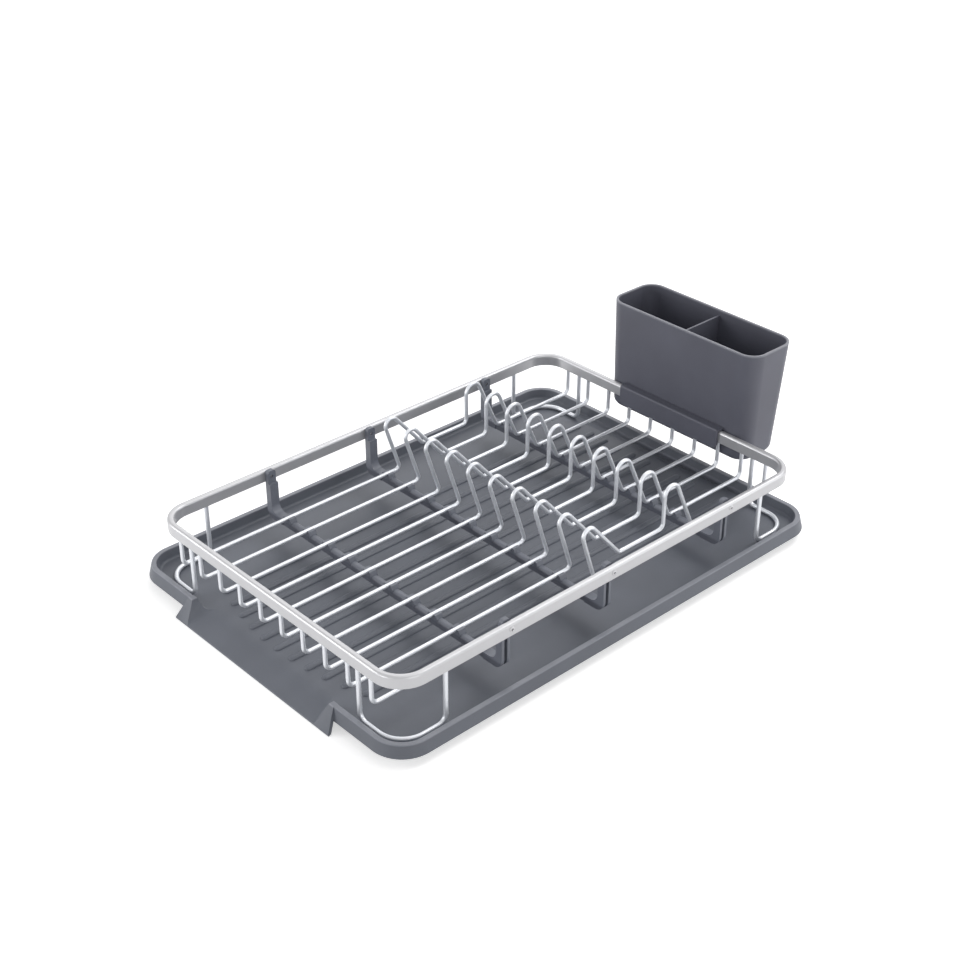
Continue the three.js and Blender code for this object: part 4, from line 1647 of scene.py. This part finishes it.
@dataclass
class CutleryHolder:
    """The holder with two compartments that hooks over the rim's end."""

    finish: MouldedPlastic
    depth: float = 55.5 * MM
    corner_radius: float = 15 * MM
    wall: float = 2.2 * MM
    floor: float = 2.4 * MM
    end_taper: float = 3 * MM
    back_taper: float = 8.2 * MM
    bottom_radius: float = 7 * MM
    edge: float = 0.6 * MM
    divider_thickness: float = 1.8 * MM
    divider_drop: float = 5 * MM
    rim_gap: float = 0.4 * MM
    hook_width: float = 113 * MM
    hook_thickness: float = 2 * MM
    hook_corner_radius: float = 1.6 * MM
    skirt_height: float = 18 * MM
    skirt_corner_radius: float = 5 * MM
    slots_per_side: int = 4
    slot_width: float = 4 * MM
    slot_length: float = 30 * MM
    slot_pitch: float = 14 * MM

    def __post_init__(self) -> None:
        """Takes the holder's place and outline from the frame."""
        low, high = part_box("cutlery_holder")
        self.bottom, self.top = low.z, high.z
        self.front = high.x - self.depth
        self.middle = (low.y + high.y) / 2
        self.half_length = (high.y - low.y) / 2

    def ring(self, inset: float, height: float) -> list[Vector]:
        """Makes the wall's outline at one height, drawn in by the taper there.

        Args:
            inset: How far it lies inside the wall's outside.
            height: Its height.

        Returns:
            The ring's points.
        """
        low_share = (self.top - height) / (self.top - self.bottom)
        depth = self.depth - self.back_taper * low_share - inset * 2
        half_length = self.half_length - self.end_taper * low_share - inset
        centre = (self.front + inset + depth / 2, self.middle)
        return rounded_ring(centre, depth / 2, half_length, self.corner_radius - inset, height)

    def cup(self) -> Solid:
        """Builds the cup as one closed wall.

        Returns:
            The cup before its divider, hook and drain slots.
        """
        floor_top = self.bottom + self.floor
        outer, edge = self.bottom_radius, self.edge
        inner = outer - self.wall
        profile = [
            *arc((outer, self.bottom + outer), outer, 3, 2),
            *arc((edge, self.top - edge), edge, 2, 1, EDGE_STEPS),
            *arc((self.wall - edge, self.top - edge), edge, 1, 0, EDGE_STEPS),
            *arc((self.wall + inner, floor_top + inner), inner, 2, 3),
        ]
        return loft("holder_cup", [self.ring(inset, height) for inset, height in profile], hoop=False)

    def divider(self) -> Solid:
        """Builds the wall between the two compartments.

        Returns:
            The divider.
        """
        low, high = self.bottom + self.floor - JOIN_OVERLAP, self.top - self.divider_drop
        low_share = (self.top - low) / (self.top - self.bottom)
        near = self.front + self.wall - JOIN_OVERLAP
        far = self.front + self.depth - self.wall + JOIN_OVERLAP
        foot = far - self.back_taper * low_share
        outline = [(near, low), (foot, low), (far - JOIN_OVERLAP, high), (near, high)]
        half = self.divider_thickness / 2
        return plate("holder_divider", outline, self.middle - half, self.middle + half, Across.Y)

    def drains(self) -> Solid:
        """Builds the drain slots, repeated along the floor on both sides of the divider.

        Returns:
            The slots as one solid.
        """
        centre = self.front + (self.depth - self.back_taper) / 2
        radius, half = self.slot_width / 2, self.slot_length / 2
        low, high = self.bottom - CUT_OVERRUN, self.bottom + self.floor + CUT_OVERRUN
        ends = arc((half - radius, 0), radius, -1, 1) + arc((radius - half, 0), radius, 1, 3)
        steps = [side * i * self.slot_pitch for side in (-1, 1) for i in range(1, self.slots_per_side + 1)]
        spots = [(Vector((centre, self.middle + step, 0)), 0.0, 1.0) for step in steps]
        return repeated("holder_drains", plate("slot_pattern", ends, low, high, Across.Z), spots)

    def hook(self, rim: TopRim) -> list[Solid]:
        """Builds the flange over the rim and the skirt down its inner face.

        Args:
            rim: The rim that the holder hangs on.

        Returns:
            The flange and the skirt.
        """
        underside = rim.top + FIT_GAP
        top = underside + self.hook_thickness
        skirt_out = rim.centre[0] + rim.half_length - rim.thickness - self.rim_gap
        skirt_in = skirt_out - self.hook_thickness
        skirt_low, half = top - self.skirt_height, self.hook_width / 2
        radius, turn = self.skirt_corner_radius, self.hook_corner_radius
        near = self.front + self.wall / 2
        flange = [
            (near, underside),
            (near, top),
            *arc((skirt_in + turn, top - turn), turn, 1, 2),
            (skirt_in, underside),
        ]
        skirt = [
            (self.middle + half, top - turn),
            (self.middle - half, top - turn),
            *arc((self.middle - half + radius, skirt_low + radius), radius, 2, 3),
            *arc((self.middle + half - radius, skirt_low + radius), radius, 3, 4),
        ]
        return [
            plate("hook_flange", flange, self.middle - half, self.middle + half, Across.Y),
            plate("hook_skirt", skirt, skirt_in, skirt_out, Across.X),
        ]

    def build(self, rim: TopRim) -> list[Solid]:
        """Builds and dresses the holder.

        Args:
            rim: The rim that it hangs on.

        Returns:
            The holder.
        """
        holder = self.cup()
        holder.name = "holder_moulding"
        combine(holder, [self.divider(), *self.hook(rim)], Join.ADD)
        combine(holder, [self.drains()], Join.CUT)
        material = self.finish.material()
        return [dress(shade(holder), Body.HOLDER, ["cutlery_holder"], material)]


def dress(piece: Solid, body: Body, nodes: Sequence[str], material: Material) -> Solid:
    """Gives a finished piece its material and its place in the frame.

    Args:
        piece: The piece.
        body: The body that it rides on.
        nodes: The frame's nodes that it stands for.
        material: Its material.

    Returns:
        The piece.
    """
    piece.data.materials.clear()
    piece.data.materials.append(material)
    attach(piece, body.value)
    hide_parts(*nodes)
    log.info("%s: %d faces for %s", piece.name, len(piece.data.polygons), ", ".join(nodes))
    return piece


@dataclass(frozen=True)
class Lamp:
    """One soft square lamp."""

    name: str
    place: Point3
    side: float
    watts: float

    def hang(self, aim: Vector) -> None:
        """Hangs the lamp.

        Args:
            aim: What it points at.
        """
        data = bpy.data.lights.new(self.name, "AREA")
        data.shape = "SQUARE"
        data.size = self.side
        data.energy = self.watts
        light = bpy.data.objects.new(self.name, data)
        light.location = self.place
        light.rotation_mode = "QUATERNION"
        light.rotation_quaternion = (aim - Vector(self.place)).to_track_quat("-Z", "Y")
        bpy.context.scene.collection.objects.link(light)


def seen(page: NodeDraft) -> Socket:
    """Gives 1 to the camera and in reflections, 0 to all other light."""
    path = page.node("ShaderNodeLightPath", {}).outputs
    return page.sum("MAXIMUM", path["Is Camera Ray"], path["Is Glossy Ray"])


@dataclass
class Studio:
    """The plain floor, the soft light and the camera."""

    lens: float = 60.70
    sensor: float = 36.0
    camera_place: Point3 = (-0.7752, -0.82563, 0.74841)
    camera_turn: Point3 = (58.9385, 0.0, -42.4848)
    sight: float = 20.0
    lamps: tuple[Lamp, ...] = (
        Lamp("key_lamp", (0.4, -0.2, 1.9), 1.4, 4.2),
        Lamp("side_lamp", (1.2, -0.2, 1.45), 0.9, 10.0),
        Lamp("back_lamp", (-1.25, 0.9, 0.5), 0.8, 7.5),
        Lamp("rear_lamp", (0.85, 0.95, 0.85), 1.2, 4.0),
        Lamp("fill_lamp", (1.1, -1.1, 0.35), 0.8, 4.0),
        Lamp("front_lamp", (-0.3, -1.5, 0.5), 0.9, 3.5),
        Lamp("end_lamp", (-1.6, -0.1, 0.22), 0.4, 2.6),
    )
    lamp_aim: Point3 = (0.0, 0.0, 0.05)
    floor_half: float = 4.0
    floor_colour: Colour = (0.97, 0.97, 0.97)
    floor_roughness: float = 0.9
    floor_glow: float = 0.55
    glow_near: float = 0.6
    glow_far: float = 1.8
    sky: float = 0.30

    def floor(self) -> None:
        """Lays the floor, white to the camera where no shadow falls and at a distance."""
        shape = bmesh.new()
        corners = ((-1, -1), (1, -1), (1, 1), (-1, 1))
        shape.faces.new([shape.verts.new((x * self.floor_half, y * self.floor_half, 0)) for x, y in corners])
        floor = object_from("studio_floor", shape)
        page = ShaderPage("studio floor")
        page.set(Base_Color=linear(self.floor_colour), Roughness=self.floor_roughness, Specular_IOR_Level=0.0)
        away = page.node("ShaderNodeVectorMath", {0: page.place.outputs["Object"]}, operation="LENGTH")
        links = {"Value": away.outputs["Value"], "From Min": self.glow_near, "From Max": self.glow_far}
        level = page.node("ShaderNodeMapRange", {**links, "To Min": self.floor_glow}).outputs["Result"]
        glow = page.sum("MULTIPLY", seen(page), level)
        light = page.node("ShaderNodeEmission", {"Strength": glow})
        both = page.node("ShaderNodeAddShader", {0: page.surface.outputs[0], 1: light.outputs[0]})
        page.feed(page.tree.nodes["Material Output"].inputs["Surface"], both.outputs[0])
        floor.data.materials.append(page.material)

    def sky_light(self) -> None:
        """Sets the world: soft light all round, white to the camera and in reflections."""
        world = bpy.data.worlds.new("studio sky")
        bpy.context.scene.world = world
        world.use_nodes = True
        page = NodeDraft(world.node_tree)
        strength = page.node("ShaderNodeMapRange", {"Value": seen(page), "To Min": self.sky})
        background = page.tree.nodes["Background"].inputs
        page.feed(background["Color"], (1.0, 1.0, 1.0, 1.0))
        page.feed(background["Strength"], strength.outputs["Result"])

    def camera(self) -> None:
        """Sets the camera at the photograph's angle."""
        data = bpy.data.cameras.new("photo_camera")
        data.lens = self.lens
        data.sensor_width = self.sensor
        data.clip_end = self.sight
        camera = bpy.data.objects.new("photo_camera", data)
        camera.location = self.camera_place
        camera.rotation_euler = Euler([math.radians(a) for a in self.camera_turn])
        bpy.context.scene.collection.objects.link(camera)
        bpy.context.scene.camera = camera

    def build(self) -> None:
        """Sets up the whole studio."""
        self.floor()
        self.sky_light()
        for lamp in self.lamps:
            lamp.hang(Vector(self.lamp_aim))
        self.camera()
        bpy.context.scene.view_settings.view_transform = "Standard"


def main() -> None:
    """Builds the drainer's sub-assemblies in order and reports each piece."""
    logging.basicConfig(level=logging.INFO, format="%(name)s %(message)s")
    bar = SatinBar("satin aluminium", (0.77, 0.77, 0.78))
    bright = DrawnWire("satin wire", (0.91, 0.92, 0.94))
    # Each plastic below gets a painted highlight: a lighter band between its two heights, along the tray's
    # lip, the tops of the bars and clips, and the holder's top edge.
    grey = MouldedPlastic(
        "grey tray plastic",
        colour=(0.40, 0.415, 0.45),
        painted_highlight_colour=(0.57, 0.58, 0.615),
        painted_highlight_from=17.2 * MM,
        painted_highlight_to=18.3 * MM,
    )
    dark = MouldedPlastic(
        "dark crossbar plastic",
        colour=(0.36, 0.37, 0.41),
        painted_highlight_colour=(0.47, 0.485, 0.525),
        painted_highlight_from=28.5 * MM,
        painted_highlight_to=31.5 * MM,
    )
    charcoal = MouldedPlastic(
        "charcoal holder plastic",
        colour=(0.375, 0.38, 0.425),
        painted_highlight_colour=(0.56, 0.565, 0.60),
        painted_highlight_from=142.5 * MM,
        painted_highlight_to=144.2 * MM,
    )
    tray = DripTray(grey)
    rim = TopRim(bar)
    wires = LongWires(bright)
    legs = LegLoops(bright)
    rivets = Rivets(SatinBar("rivet aluminium", (0.78, 0.78, 0.79)))
    crossbars = Crossbars(dark)
    holder = CutleryHolder(charcoal)
    bar_places = [(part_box(name)[0].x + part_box(name)[1].x) / 2 for name in crossbars.names]
    ends = [Vector((rim.centre[0] + side * rim.end_x, y, 0)) for y in wires.places for side in (-1, 1)]
    sockets = [(end, wires.radius) for end in ends] + [(place, legs.radius) for place in legs.places(rim)]
    rivet_places = [(place, rivets.height(rim)) for place in bar_places]
    steps: list[Callable[[], list[Solid]]] = [
        tray.build,
        lambda: rim.build(sockets, rivet_places, rivets.shank_radius),
        lambda: wires.build(rim),
        lambda: legs.build(rim),
        lambda: crossbars.build(wires, rim, rivets),
        lambda: rivets.build(rim, bar_places),
        lambda: holder.build(rim),
    ]
    pieces = [piece for step in steps for piece in step()]
    log.info("%d pieces in all", len(pieces))
    Studio().build()


if __name__ == "__main__":
    main()
